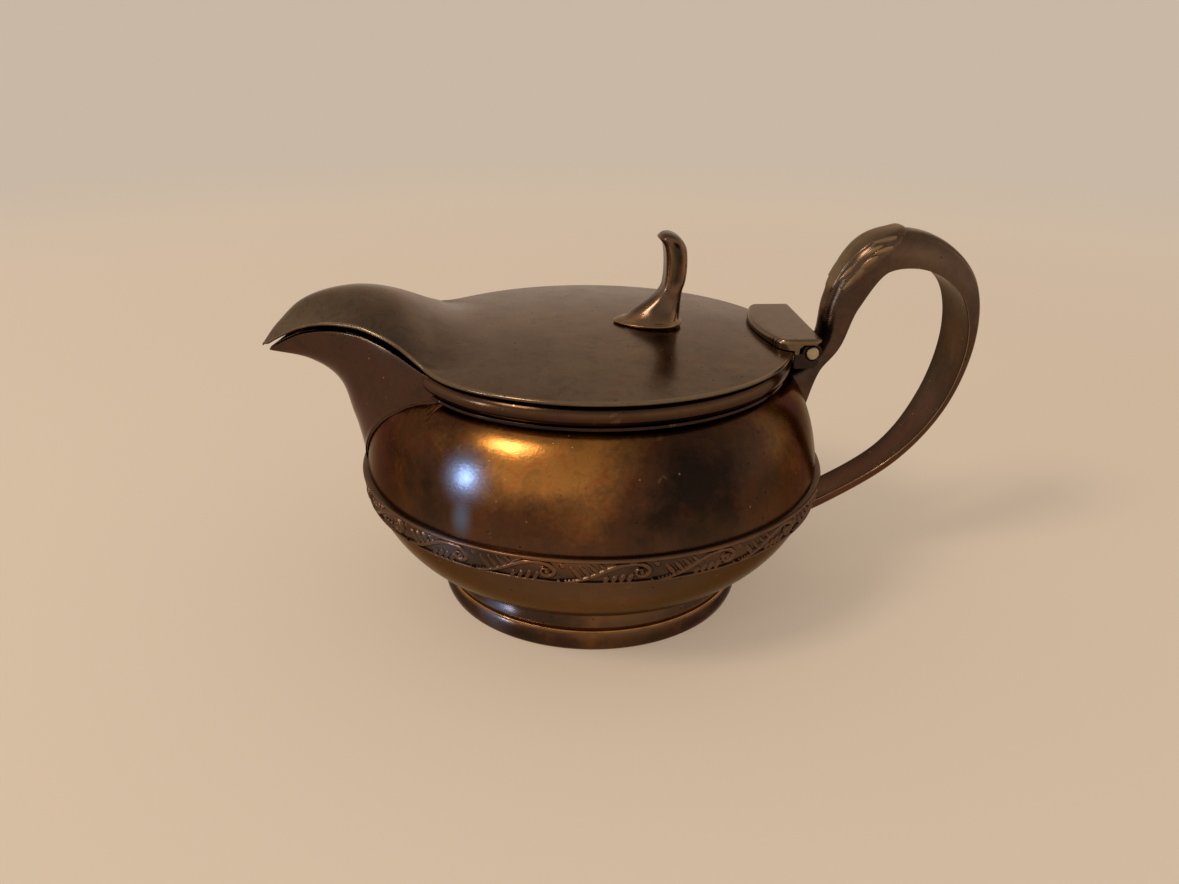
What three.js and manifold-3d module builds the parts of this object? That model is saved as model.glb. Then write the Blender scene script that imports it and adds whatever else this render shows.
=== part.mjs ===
// Covered creamer: a low round bowl on a stepped foot, with a beak spout, a hinged lid whose hood
// covers the spout, a scroll finial, a cast strap handle and a rolled band of running leaf scrolls.
// Millimetres, +Z up, spout towards -X, handle towards +X, standing on z = 0.
// Heights and reaches below are given from the table and from the upright axis of the bowl.
import * as THREE from "three";
import { mergeVertices } from "three/addons/utils/BufferGeometryUtils.js";
import Module from "manifold-3d";

// Fits and steps
const SEAT_GAP = 0.3;
const TURN_STEPS = 48;
const OVERCUT = 4;
const THINNEST = 0.2;

// Bowl: a spun shell, widest low down, drawn in to an upright neck
const BELLY_RADIUS = 44.4;
const BELLY_HEIGHT = 26.4;
const BASE_RADIUS = 28.6;
const BASE_HEIGHT = 8.2;
const BASE_SAG = 1.4;
const BELLY_FULLNESS_BELOW = 1.65;
const BELLY_FULLNESS_ABOVE = 1.8;
const NECK_RADIUS = 35.6;
const SHOULDER_HEIGHT = 46.6;
const NECK_LENGTH = 4.7;
const WALL = 1.2;

// Foot: a spun ring, open underneath
const FOOT_RADIUS = 29.8;
const FOOT_BULGE = 0.6;
const FOOT_STEP_HEIGHT = 4.1;
const FOOT_STEP_DEPTH = 0.5;
const FOOT_WAIST_RADIUS = 28.1;
const FOOT_STEP_LEDGE = 0.2;
const FOOT_WALL = 1.1;
const FOOT_LINING_SHARE = 0.6;
const FOOT_REST_WIDTH = 1.6;

// Rim moulding: a half-round wire with a fillet below it, soldered round the neck
const RIM_BEAD_STAND = 2.1;
const RIM_FILLET_HEIGHT = 0.7;
const RIM_FILLET_STAND = 1.2;

// Ornament band: a die-rolled strip soldered round the belly
const BAND_BOTTOM = 22.9;
const BAND_TOP = 28.1;
const BAND_THICKNESS = 0.45;
const BAND_BEAD_RADIUS = 0.42;
const BAND_FILLET_RADIUS = 0.3;
const BAND_GROUND = [0.62, 0.36];
const MOTIF_COUNT = 18;
const STEM_RADIUS = 0.38;
const STEM_SIDES = 4;
const STEM_STEPS = 6;
const SCROLL_EYE_RADIUS = 0.5;
const BUD_RADIUS = 0.45;
const BUD_COUNT = 3;
const LOBE_RADIUS = 0.42;
const LOBE_COUNT = 2;

// Spout: a stamped shell, open along its top under the hood
const SPOUT_LENGTH = 30.3;
const SPOUT_HALF_WIDTH = 21.8;
const SPOUT_RISE = 5.2;
const SPOUT_ROOT_HEIGHT = 28.3;
const SPOUT_WALL = 1.1;
const SPOUT_ROOT_FULLNESS = 1.3;
const SPOUT_LIP_FULLNESS = 1.8;
const SPOUT_STATIONS = 12;
const SPOUT_ARC_STEPS = 14;
const SPOUT_CHANNEL_SHARE = 0.94;

// Lid: a slightly domed plate that rests on the rim, with a hood drawn out over the spout
const LID_OVERHANG = 2.6;
const LID_THICKNESS = 1.0;
const LID_DOME = 2.3;
const LID_REAR_CLEARANCE = 0.5;
const HOOD_CROWN_RISE = 4.8;
const HOOD_OVERHANG = 0.5;
const HOOD_TIP_OVERHANG = 1.4;
const HOOD_ARCH_GAP = 0.1;
const HOOD_TIP_DROOP = 0.4;
const HOOD_FADE_LENGTH = 11;
const LID_STATIONS = 16;
const HOOD_STATIONS = 12;
const LID_CROSS_STEPS = 12;

// Hinge: one pin through two fixed ears and the knuckle between them, under a cover leaf
const PIN_RADIUS = 1.25;
const PIN_STANDOFF = 4.4;
const PIN_RISE = 0.1;
const PIN_DOME = 0.3;
const PIN_DOME_SHARE = 0.55;
const HINGE_WIDTH = 23;
const EAR_THICKNESS = 4;
const KNUCKLE_RADIUS = 1.9;
const BRACKET_DEPTH = 3;
const BRACKET_REAR = 1.3;
const BRACKET_CHAMFER = 0.8;
const LEAF_WIDTH = 26;
const LEAF_LENGTH = 10.6;
const LEAF_RISE = 1.35;
const LEAF_REAR_OVERHANG = 1.4;
const LEAF_REAR_CORNER = 1.2;
const LEAF_CORNER = 2.2;
const LEAF_FRONT_BOW = 1.8;
const LEAF_EDGE_ROUND = 0.5;

// Finial: a scroll that curls forward from an egg-shaped base plate
const FINIAL_FRONT = 3.9;
const FINIAL_BASE_LENGTH = 13;
const FINIAL_BASE_HALF_WIDTH = 7;
const FINIAL_BASE_EDGE = 0.5;
const FINIAL_BASE_CREST = 1.6;
const FINIAL_BASE_FRONT_TAPER = 0.22;
const FINIAL_HEIGHT = 17.4;
const FINIAL_STEM_HALF_WIDTH = 3;
const FINIAL_STEM_SQUARENESS = 0.7;
const FINIAL_ROUND_STEPS = 14;

// Handle: a cast strap, flat inside, thick at the leaf on top and thin where it meets the bowl again
const HANDLE_REACH = 38;
const HANDLE_RISE = 18;
const HANDLE_FOOT_HEIGHT = 12.2;
const HANDLE_THICKNESS = 7.3;
const HANDLE_HALF_WIDTH = 5.3;
const HANDLE_ROUND_STEPS = 14;
const HANDLE_STATIONS = 34;
const CAP_START_SHARE = 0.262;
const CAP_END_SHARE = 0.411;
const CAP_THICKNESS = 0.45;
const CAP_LIP = 0.15;
const CAP_STATIONS = 20;
const CAP_LOBES = 4;
const CAP_LOBE_SHARE = 0.16;
const CAP_SPREAD_ANGLE = 1.15;
const CAP_SEAT_DEPTH = 1.6;
const CAP_FIRST_LIFT = 0.15;
const CAP_POINT_SHARE = 0.1;
const CAP_BLUNT_SHARE = 0.92;
const STRAP_CROWN_POWER = 0.8;
const STRAP_EDGE_POWER = 0.6;

// Places along the spout: its upper edge as shares of its length, half width and rise, and its keel
// below as shares of the way out from the bowl to the lip and of the way down to the root.
const SPOUT_PLACES = [
  { edge: [0, 1, 0], keel: [0, 1] },
  { edge: [0.23, 0.69, 0.65], keel: [0.135, 0.62] },
  { edge: [0.5, 0.46, 1], keel: [0.25, 0.31] },
  { edge: [0.78, 0.22, 0.67], keel: [0.56, 0.14] },
  { edge: [1, 0.02, -0.17], keel: [1.01, 0.065] },
];

// The crown of the hood over each of those places, as a share of its greatest rise over its edges.
const HOOD_CROWN = [0.87, 1.06, 0.93, 0.73, 0];

// The finial's stem from its base up, front and rear, as shares of its base length and height.
const FINIAL_STEM = [
  { front: [0.3, 0.16], rear: [0.98, 0.14], width: 1.35 },
  { front: [0.54, 0.27], rear: [0.98, 0.26], width: 1 },
  { front: [0.69, 0.46], rear: [1.03, 0.45], width: 0.92 },
  { front: [0.71, 0.66], rear: [1.05, 0.65], width: 0.96 },
  { front: [0.7, 0.82], rear: [1.01, 0.85], width: 1.03 },
  { front: [0.66, 0.9], rear: [0.9, 0.95], width: 1 },
  { front: [0.63, 0.94], rear: [0.77, 1], width: 0.8 },
];

// The handle from its root under the hinge to its foot low on the bowl, as shares of its reach,
// thickness and half width, and of its rise over the mouth or its way down to its foot.
const HANDLE_PLACES = [
  { at: [0.067, -0.262], thick: 1.19, width: 0.86 },
  { at: [0.181, -0.129], thick: 0.5, width: 0.8 },
  { at: [0.272, -0.004], thick: 0.55, width: 0.8 },
  { at: [0.326, 0.448], thick: 0.78, width: 0.86 },
  { at: [0.473, 0.921], thick: 0.91, width: 0.97 },
  { at: [0.732, 0.95], thick: 0.86, width: 1.02 },
  { at: [0.944, 0.601], thick: 0.63, width: 1.14 },
  { at: [0.994, -0.013], thick: 0.38, width: 1.21 },
  { at: [0.891, -0.358], thick: 0.31, width: 1.07 },
  { at: [0.664, -0.658], thick: 0.32, width: 0.8 },
  { at: [0.305, -0.882], thick: 0.37, width: 0.76 },
  { at: [0.009, -0.999], thick: 0.45, width: 0.78 },
];

// One repeat of the band's scroll, as shares along the repeat and up the strip: the stem's line, the
// eye that it rolls round, and the row of buds and the row of leaf lobes by their first place and step.
const SCROLL_LINE = [
  [0, 0.14],
  [0.2, 0.2],
  [0.4, 0.48],
  [0.56, 0.74],
  [0.78, 0.82],
  [0.92, 0.68],
  [0.93, 0.42],
];
const SCROLL_EYE = [0.83, 0.52];
const BUD_ROW = { first: [0.48, 0.24], step: [0.12, 0], tall: 1.2 };
const LOBE_ROW = { first: [0.1, 0.52], step: [0.13, 0.12], tall: 1.5 };

// Sizes that follow from those above
const MOUTH_HEIGHT = SHOULDER_HEIGHT + NECK_LENGTH;
const LID_RADIUS = NECK_RADIUS + LID_OVERHANG;
const LID_RISE_AT_NECK = LID_DOME * (1 - (NECK_RADIUS / LID_RADIUS) ** 2);
const LID_UNDERSIDE = MOUTH_HEIGHT + SEAT_GAP - LID_RISE_AT_NECK;
const LID_EDGE_TOP = LID_UNDERSIDE + LID_THICKNESS;
const PIN_REACH = NECK_RADIUS + PIN_STANDOFF;
const PIN_HEIGHT = MOUTH_HEIGHT + PIN_RISE;
const KNUCKLE_BORE = PIN_RADIUS + SEAT_GAP;
const KNUCKLE_HOLLOW = KNUCKLE_RADIUS + SEAT_GAP;
const LID_REAR = PIN_REACH - KNUCKLE_RADIUS - LID_REAR_CLEARANCE;
const HOOD_START = -Math.sqrt(LID_RADIUS ** 2 - (SPOUT_HALF_WIDTH + HOOD_OVERHANG) ** 2);
const SPOUT_EDGE_HEIGHT = LID_UNDERSIDE - SEAT_GAP;

const wasm = await Module();
wasm.setup();

// Worn and tarnished plate, in the colours that the real one shows
function metal(color, roughness) {
  return new THREE.MeshStandardMaterial({ color, roughness, metalness: 1 });
}
const tarnishedPlate = () => metal(0x4a3020, 0.28);
const spoutPlate = () => metal(0x4c382c, 0.3);
const rolledPlate = () => metal(0x58402a, 0.34);
const castPlate = () => metal(0x5a4434, 0.3);
const lidPlate = () => metal(0x6b5642, 0.32);
const paleMetal = () => metal(0xb3a583, 0.4);

// Small helpers
const mix = (a, b, share) => a + (b - a) * share;
const evenly = (steps, at) => Array.from({ length: steps + 1 }, (_, i) => at(i / steps));
const signedPower = (value, power) => Math.sign(value) * Math.abs(value) ** power;

// A smooth line through places that are given as [x, y, z].
function lineThrough(places) {
  return new THREE.CatmullRomCurve3(places.map((p) => new THREE.Vector3(...p)), false, "catmullrom", 0.5);
}

// A closed three.js geometry as a solid that can be joined and cut.
function toSolid(geometry) {
  const bare = geometry.index ? geometry.toNonIndexed() : geometry.clone();
  bare.deleteAttribute("normal");
  bare.deleteAttribute("uv");
  const merged = mergeVertices(bare, 1e-4);
  const corners = merged.index.array;
  const kept = [];
  for (let i = 0; i < corners.length; i += 3) {
    const [a, b, c] = corners.slice(i, i + 3);
    if (a !== b && b !== c && c !== a) kept.push(a, b, c);
  }
  const solid = (triVerts) =>
    new wasm.Manifold(
      new wasm.Mesh({ numProp: 3, vertProperties: merged.attributes.position.array, triVerts }),
    );
  const made = solid(new Uint32Array(kept));
  return made.volume() > 0 ? made : solid(new Uint32Array(kept.reverse()));
}

// A solid back as a named three.js mesh.
function piece(name, solid, material) {
  const made = solid.getMesh();
  const geometry = new THREE.BufferGeometry();
  geometry.setAttribute("position", new THREE.BufferAttribute(made.vertProperties, 3));
  geometry.setIndex(new THREE.BufferAttribute(made.triVerts, 1));
  const flat = geometry.toNonIndexed();
  flat.computeVertexNormals();
  const mesh = new THREE.Mesh(flat, material);
  mesh.name = name;
  return mesh;
}

// A solid turned about the Z axis from [radius, height] points that start and end on the axis.
function turned(profile) {
  const points = profile.map(([radius, height]) => new THREE.Vector2(radius, height));
  return toSolid(new THREE.LatheGeometry(points, TURN_STEPS).rotateX(Math.PI / 2));
}

// A ring turned about the Z axis from a profile that closes on itself.
function turnedRing(profile) {
  return turned([...profile, profile[0]]);
}

// A solid skinned over closed loops of equally many points, with a fan over each end.
function skinned(loops) {
  const count = loops[0].length;
  const positions = [];
  const face = (...corners) => corners.forEach((corner) => positions.push(...corner.toArray()));
  const middle = (loop) => loop.reduce((sum, p) => sum.add(p), new THREE.Vector3()).divideScalar(count);
  const last = loops.length - 1;
  for (let i = 0; i < count; i += 1) {
    const next = (i + 1) % count;
    for (let row = 0; row < last; row += 1) {
      face(loops[row][i], loops[row][next], loops[row + 1][next]);
      face(loops[row][i], loops[row + 1][next], loops[row + 1][i]);
    }
    face(middle(loops[0]), loops[0][next], loops[0][i]);
    face(middle(loops[last]), loops[last][i], loops[last][next]);
  }
  const geometry = new THREE.BufferGeometry();
  geometry.setAttribute("position", new THREE.Float32BufferAttribute(positions, 3));
  return toSolid(geometry);
}

// An [x, z] outline pulled out evenly to both sides along Y.
function pulledAcross(outline, width) {
  const shape = new THREE.Shape(outline.map(([x, z]) => new THREE.Vector2(x, z)));
  const geometry = new THREE.ExtrudeGeometry(shape, { depth: width, bevelEnabled: false });
  return toSolid(geometry.rotateX(Math.PI / 2).translate(0, width / 2, 0));
}

// A round bar on the hinge axis between two places along Y.
function hingeBar(radius, from, to, tipRadius = radius) {
  const geometry = new THREE.CylinderGeometry(tipRadius, radius, to - from, 28);
  return toSolid(geometry.translate(PIN_REACH, (from + to) / 2, PIN_HEIGHT));
}

// A tube of round section along a smooth line.
function tubeAlong(places, radius, sides, steps) {
  const section = new THREE.Shape(
    evenly(sides - 1, (share) => {
      const angle = (share * 2 * Math.PI * (sides - 1)) / sides;
      return new THREE.Vector2(Math.cos(angle) * radius, Math.sin(angle) * radius);
    }),
  );
  const path = lineThrough(places);
  return toSolid(new THREE.ExtrudeGeometry(section, { steps, bevelEnabled: false, extrudePath: path }));
}

// Outer radius of the bowl at a height: two quarter ovals that meet at the belly.
function bowlRadius(height) {
  const below = height < BELLY_HEIGHT;
  const span = below ? BELLY_HEIGHT - BASE_HEIGHT : SHOULDER_HEIGHT - BELLY_HEIGHT;
  const fullness = below ? BELLY_FULLNESS_BELOW : BELLY_FULLNESS_ABOVE;
  const share = Math.min(1, Math.abs(height - BELLY_HEIGHT) / span);
  const inner = below ? BASE_RADIUS : NECK_RADIUS;
  return inner + (BELLY_RADIUS - inner) * (1 - share ** fullness) ** (1 / fullness);
}

// The bowl's outside as [radius, height] points from the middle of its base to the top of its neck.
function bowlProfile(grow, top) {
  const below = evenly(6, (share) => {
    const height = mix(BASE_HEIGHT, BELLY_HEIGHT, 1 - Math.cos((share * Math.PI) / 2));
    return [bowlRadius(height) + grow, height - (share === 0 ? grow : 0)];
  });
  const above = evenly(7, (share) => {
    const height = mix(BELLY_HEIGHT, SHOULDER_HEIGHT, Math.sin((share * Math.PI) / 2));
    return [bowlRadius(height) + grow, height + grow * share];
  });
  return [[0, BASE_HEIGHT - BASE_SAG - grow], ...below, ...above.slice(1), [NECK_RADIUS + grow, top]];
}

// The bowl's outside as a filled form, grown by a clearance, for cutting what is soldered to it.
function bowlForm(grow) {
  const top = MOUTH_HEIGHT + OVERCUT;
  return turned([...bowlProfile(grow, top), [0, top]]);
}

// One cross-section of the spout: an arch hung from its two upper edges down to its keel.
function spoutSection(place, grow, lift, inward) {
  const edge = spoutEdge.getPoint(place);
  const keel = spoutKeel.getPoint(place);
  const hang = keel.clone().sub(new THREE.Vector3(edge.x, 0, edge.z));
  const down = hang.clone().normalize();
  const depth = Math.max(hang.length() + grow, THINNEST);
  const halfWidth = Math.max(edge.y + grow, THINNEST);
  const power = 2 / mix(SPOUT_ROOT_FULLNESS, SPOUT_LIP_FULLNESS, Math.min(1, 2 * place));
  const arch = evenly(SPOUT_ARC_STEPS, (share) => {
    const angle = (share - 0.5) * Math.PI;
    const y = halfWidth * signedPower(Math.sin(angle), power);
    const fall = depth * Math.cos(angle) ** power;
    return new THREE.Vector3(edge.x + down.x * fall + inward, y, edge.z + down.z * fall);
  });
  const raised = [1, -1].map(
    (side) => new THREE.Vector3(edge.x + inward, side * halfWidth, edge.z + lift),
  );
  return lift > 0 ? [...arch, ...raised] : arch;
}

// The spout's form, grown or shrunk all round, lifted at its top and run on into the bowl.
function spoutForm(grow, lift, inward, end = 1) {
  const sections = evenly(SPOUT_STATIONS, (share) => spoutSection(share * end, grow, lift, 0));
  return skinned([spoutSection(0, grow, lift, inward), ...sections]);
}

const spoutEdge = lineThrough(
  SPOUT_PLACES.map(({ edge: [out, width, up] }) => [
    HOOD_START - SPOUT_LENGTH * out,
    SPOUT_HALF_WIDTH * width,
    SPOUT_EDGE_HEIGHT + SPOUT_RISE * up,
  ]),
);
const spoutKeel = lineThrough(
  SPOUT_PLACES.map(({ keel: [out, down] }) => [
    mix(-bowlRadius(SPOUT_ROOT_HEIGHT), HOOD_START - SPOUT_LENGTH, out),
    0,
    mix(MOUTH_HEIGHT, SPOUT_ROOT_HEIGHT, down),
  ]),
);
const spoutChannel = spoutForm(-SPOUT_WALL, OVERCUT, 3 * OVERCUT, SPOUT_CHANNEL_SHARE);

function makeBowl() {
  const outside = bowlProfile(0, MOUTH_HEIGHT);
  const inside = bowlProfile(-WALL, MOUTH_HEIGHT).reverse();
  return turned([...outside, ...inside]).subtract(spoutChannel);
}

function makeFoot() {
  const rest = FOOT_RADIUS - FOOT_REST_WIDTH;
  const top = BASE_HEIGHT - SEAT_GAP;
  const bulge = evenly(4, (share) => [
    FOOT_RADIUS + FOOT_BULGE * Math.sin(share * Math.PI),
    FOOT_STEP_HEIGHT * share,
  ]);
  const stepRadius = FOOT_RADIUS - FOOT_STEP_DEPTH;
  const cove = evenly(4, (share) => [
    mix(stepRadius, FOOT_WAIST_RADIUS, Math.sin((share * Math.PI) / 2)),
    mix(FOOT_STEP_HEIGHT + FOOT_STEP_LEDGE, top, share),
  ]);
  return turnedRing([
    ...bulge,
    ...cove,
    [FOOT_WAIST_RADIUS - FOOT_WALL, top],
    [FOOT_WAIST_RADIUS - FOOT_WALL, mix(FOOT_STEP_HEIGHT, top, FOOT_LINING_SHARE)],
    [rest, FOOT_STEP_HEIGHT / 2],
    [rest, 0],
  ]);
}

function makeRimMoulding() {
  const inner = NECK_RADIUS + SEAT_GAP;
  const bottom = SHOULDER_HEIGHT + SEAT_GAP;
  const groove = bottom + RIM_FILLET_HEIGHT;
  const beadMiddle = (groove + MOUTH_HEIGHT) / 2;
  const beadHalf = (MOUTH_HEIGHT - groove) / 2;
  const bead = evenly(7, (share) => {
    const angle = (share - 0.5) * Math.PI;
    return [inner + RIM_BEAD_STAND * Math.cos(angle), beadMiddle + beadHalf * Math.sin(angle)];
  });
  const ring = turnedRing([
    [inner, bottom],
    [inner + RIM_FILLET_STAND, bottom],
    [inner + RIM_FILLET_STAND, groove],
    ...bead,
    [inner, MOUTH_HEIGHT],
  ]);
  return ring.subtract(spoutForm(SEAT_GAP, OVERCUT, 3 * OVERCUT));
}

// A place on the face of the band: how far round the ring, and how far up the band.
function onBand(turn, share) {
  const height = mix(BAND_BOTTOM, BAND_TOP, share);
  const radius = bowlRadius(height) + SEAT_GAP + BAND_THICKNESS;
  return [radius * Math.cos(turn), radius * Math.sin(turn), height];
}

// One repeat of the ornament: a stem that rises to the right and rolls into a scroll, leaf lobes
// over its lower end and buds under its upper one.
function makeMotif(start) {
  const step = (2 * Math.PI) / MOTIF_COUNT;
  const at = ([along, up]) => onBand(start + along * step, up);
  const leaflet = (radius, place, tall) => {
    const form = new THREE.OctahedronGeometry(radius).scale(1, 1, tall);
    return toSolid(form.translate(...at(place)));
  };
  const parts = [tubeAlong(SCROLL_LINE.map(at), STEM_RADIUS, STEM_SIDES, STEM_STEPS)];
  const row = ({ first, step: apart, tall }, count, radius) => {
    for (let i = 0; i < count; i += 1) {
      parts.push(leaflet(radius, [first[0] + apart[0] * i, first[1] + apart[1] * i], tall));
    }
  };
  parts.push(leaflet(SCROLL_EYE_RADIUS, SCROLL_EYE, 1));
  row(BUD_ROW, BUD_COUNT, BUD_RADIUS);
  row(LOBE_ROW, LOBE_COUNT, LOBE_RADIUS);
  return parts;
}

// The rolled strip: a plain ground between a bead above and a fillet below, with the motif all round.
function makeOrnamentBand() {
  const layer = (height, depth) => [bowlRadius(height) + SEAT_GAP + depth, height];
  const ridge = (height, size) =>
    evenly(4, (share) => {
      const angle = (0.5 - share) * Math.PI;
      return layer(height + size * Math.sin(angle), BAND_THICKNESS + size * Math.cos(angle));
    });
  let band = turnedRing([
    ...evenly(3, (share) => layer(mix(BAND_BOTTOM, BAND_TOP, share), 0)),
    ...ridge(BAND_TOP - BAND_BEAD_RADIUS, BAND_BEAD_RADIUS),
    ...BAND_GROUND.map((share) => layer(mix(BAND_BOTTOM, BAND_TOP, share), BAND_THICKNESS)),
    ...ridge(BAND_BOTTOM + BAND_FILLET_RADIUS, BAND_FILLET_RADIUS),
  ]);
  for (let i = 0; i < MOTIF_COUNT; i += 1) {
    makeMotif((i * 2 * Math.PI) / MOTIF_COUNT).forEach((part) => {
      band = band.add(part);
    });
  }
  return band;
}

function makeSpout() {
  return spoutForm(0, 0, 2 * OVERCUT).subtract(spoutChannel).subtract(bowlForm(SEAT_GAP));
}

// A point on the handle's skin: its angle is 0 on the rounded outside, and the inside is flat.
function handleSkin(place, angle, lift = 0) {
  const along = handleLine.getTangent(place);
  const outward = new THREE.Vector3(-along.z, 0, along.x);
  const size = handleSizes.getPoint(place);
  const rise = Math.max(0, Math.cos(angle)) ** STRAP_CROWN_POWER - 0.5;
  const point = handleLine.getPoint(place).addScaledVector(outward, rise * size.x + lift);
  point.y = size.y * signedPower(Math.sin(angle), STRAP_EDGE_POWER);
  return point;
}

// The handle's section across its line.
function handleSection(place) {
  const turn = (2 * Math.PI) / HANDLE_ROUND_STEPS;
  return Array.from({ length: HANDLE_ROUND_STEPS }, (_, i) => handleSkin(place, i * turn));
}

const handleLine = lineThrough(
  HANDLE_PLACES.map(({ at: [out, up] }) => [
    mix(NECK_RADIUS, bowlRadius(HANDLE_FOOT_HEIGHT), Math.max(0, -up)) + HANDLE_REACH * out,
    0,
    MOUTH_HEIGHT + (up > 0 ? HANDLE_RISE : MOUTH_HEIGHT - HANDLE_FOOT_HEIGHT) * up,
  ]),
);
const handleSizes = lineThrough(
  HANDLE_PLACES.map(({ thick, width }) => [HANDLE_THICKNESS * thick, HANDLE_HALF_WIDTH * width, 0]),
);

// The leaf cast over the handle's outside: lobed edges, a point below and a raised tip on top.
function makeHandleLeaf() {
  return skinned(
    evenly(CAP_STATIONS, (share) => {
      const place = mix(CAP_START_SHARE, CAP_END_SHARE, share);
      const lobes = 1 + CAP_LOBE_SHARE * Math.abs(Math.sin(CAP_LOBES * Math.PI * share));
      const taper = Math.sqrt(Math.sin(Math.PI * mix(CAP_POINT_SHARE, CAP_BLUNT_SHARE, share)));
      const spread = CAP_SPREAD_ANGLE * lobes * taper;
      const swell = Math.sin((share * Math.PI) / 2);
      const lift = mix(CAP_FIRST_LIFT, CAP_THICKNESS, swell) + CAP_LIP * share ** 6;
      const over = evenly(8, (turn) => handleSkin(place, mix(-spread, spread, turn), lift));
      const under = evenly(8, (turn) => handleSkin(place, mix(spread, -spread, turn), -CAP_SEAT_DEPTH));
      return [...over, ...under];
    }),
  );
}

function makeHandle() {
  const strap = skinned(evenly(HANDLE_STATIONS, handleSection)).add(makeHandleLeaf());
  return strap.subtract(bowlForm(SEAT_GAP)).subtract(roundTheRim());
}

// The room that the rim moulding and the lid's edge take up, with a clearance.
function roundTheRim() {
  const radius = LID_RADIUS + SEAT_GAP;
  const height = 2 * NECK_LENGTH;
  const room = new THREE.CylinderGeometry(radius, radius, height, TURN_STEPS).rotateX(Math.PI / 2);
  return toSolid(room.translate(0, 0, SHOULDER_HEIGHT + height / 2));
}

// The fixed half of the hinge: two ears on a floor that joins them, soldered to the rim moulding.
function makeHingeBracket() {
  const front = PIN_REACH - OVERCUT;
  const rear = PIN_REACH + BRACKET_REAR;
  const bottom = PIN_HEIGHT - BRACKET_DEPTH;
  const block = [
    [front, bottom],
    [rear - BRACKET_CHAMFER, bottom],
    [rear, bottom + BRACKET_CHAMFER],
    [rear, PIN_HEIGHT],
    [front, PIN_HEIGHT],
  ];
  const gapBetweenEars = HINGE_WIDTH - 2 * EAR_THICKNESS;
  const well = new THREE.BoxGeometry(2 * OVERCUT, gapBetweenEars, 2 * KNUCKLE_HOLLOW);
  well.translate(PIN_REACH, 0, PIN_HEIGHT);
  const half = HINGE_WIDTH / 2;
  return pulledAcross(block, HINGE_WIDTH)
    .add(hingeBar(KNUCKLE_RADIUS, -half, half))
    .subtract(toSolid(well))
    .subtract(hingeBar(KNUCKLE_BORE, -half - OVERCUT, half + OVERCUT))
    .subtract(roundTheRim());
}

function makeHingePin() {
  const half = HINGE_WIDTH / 2;
  const tip = PIN_RADIUS * PIN_DOME_SHARE;
  return hingeBar(PIN_RADIUS, -half, half)
    .add(hingeBar(PIN_RADIUS, half, half + PIN_DOME, tip))
    .add(hingeBar(tip, -half - PIN_DOME, -half, PIN_RADIUS));
}

function makeLidKnuckle() {
  const half = HINGE_WIDTH / 2 - EAR_THICKNESS - SEAT_GAP;
  const bore = hingeBar(KNUCKLE_BORE, -half - OVERCUT, half + OVERCUT);
  return hingeBar(KNUCKLE_RADIUS, -half, half).subtract(bore);
}

// Height of the lid's plain dome at a distance from the axis of the bowl.
function domeHeight(x, y) {
  return LID_EDGE_TOP + LID_DOME * (1 - (x * x + y * y) / LID_RADIUS ** 2);
}

// Height of the plate's top: the dome, and near the spout the start of the hood, which fades out.
function plateHeight(x, y) {
  const fade = Math.min(1, (x - HOOD_START) / HOOD_FADE_LENGTH);
  const across = Math.max(0, 1 - (y / (SPOUT_HALF_WIDTH + HOOD_OVERHANG)) ** 2);
  const crown = LID_EDGE_TOP + HOOD_CROWN[0] * HOOD_CROWN_RISE - domeHeight(HOOD_START, 0);
  return domeHeight(x, y) + crown * (1 - fade) ** 2 * across ** (1 + fade);
}

// A closed loop across the lid: along its top from side to side, and back along its underside.
function lidSection(x, halfWidth, height) {
  const top = evenly(LID_CROSS_STEPS, (share) => {
    const y = halfWidth * Math.sin((share - 0.5) * Math.PI);
    return new THREE.Vector3(x, y, height(y));
  });
  const under = [...top].reverse().map((p) => new THREE.Vector3(p.x, p.y, p.z - LID_THICKNESS));
  return [...top, ...under];
}

// One cross-section of the hood: an arch that stands on the line of the spout's edge.
function hoodSection(place) {
  const edge = spoutEdge.getPoint(place);
  const rise = hoodRise.getPoint(place).x;
  const gap = SEAT_GAP + HOOD_ARCH_GAP * Math.sin(place * Math.PI);
  const base = edge.z + gap + LID_THICKNESS - HOOD_TIP_DROOP * place ** 6;
  const halfWidth = edge.y + HOOD_OVERHANG;
  const reach = edge.x - HOOD_TIP_OVERHANG * place ** 3;
  return lidSection(reach, halfWidth, (y) => base + rise * (1 - (y / halfWidth) ** 2));
}

const hoodRise = lineThrough(HOOD_CROWN.map((share) => [HOOD_CROWN_RISE * share, 0, 0]));

function makeLidPlate() {
  const plate = evenly(LID_STATIONS, (share) => {
    const x = mix(LID_REAR, HOOD_START, 0.5 - 0.5 * Math.cos(share * Math.PI));
    return lidSection(x, Math.sqrt(LID_RADIUS ** 2 - x ** 2), (y) => plateHeight(x, y));
  });
  return skinned([...plate.slice(0, -1), ...evenly(HOOD_STATIONS, hoodSection)]);
}

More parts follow.
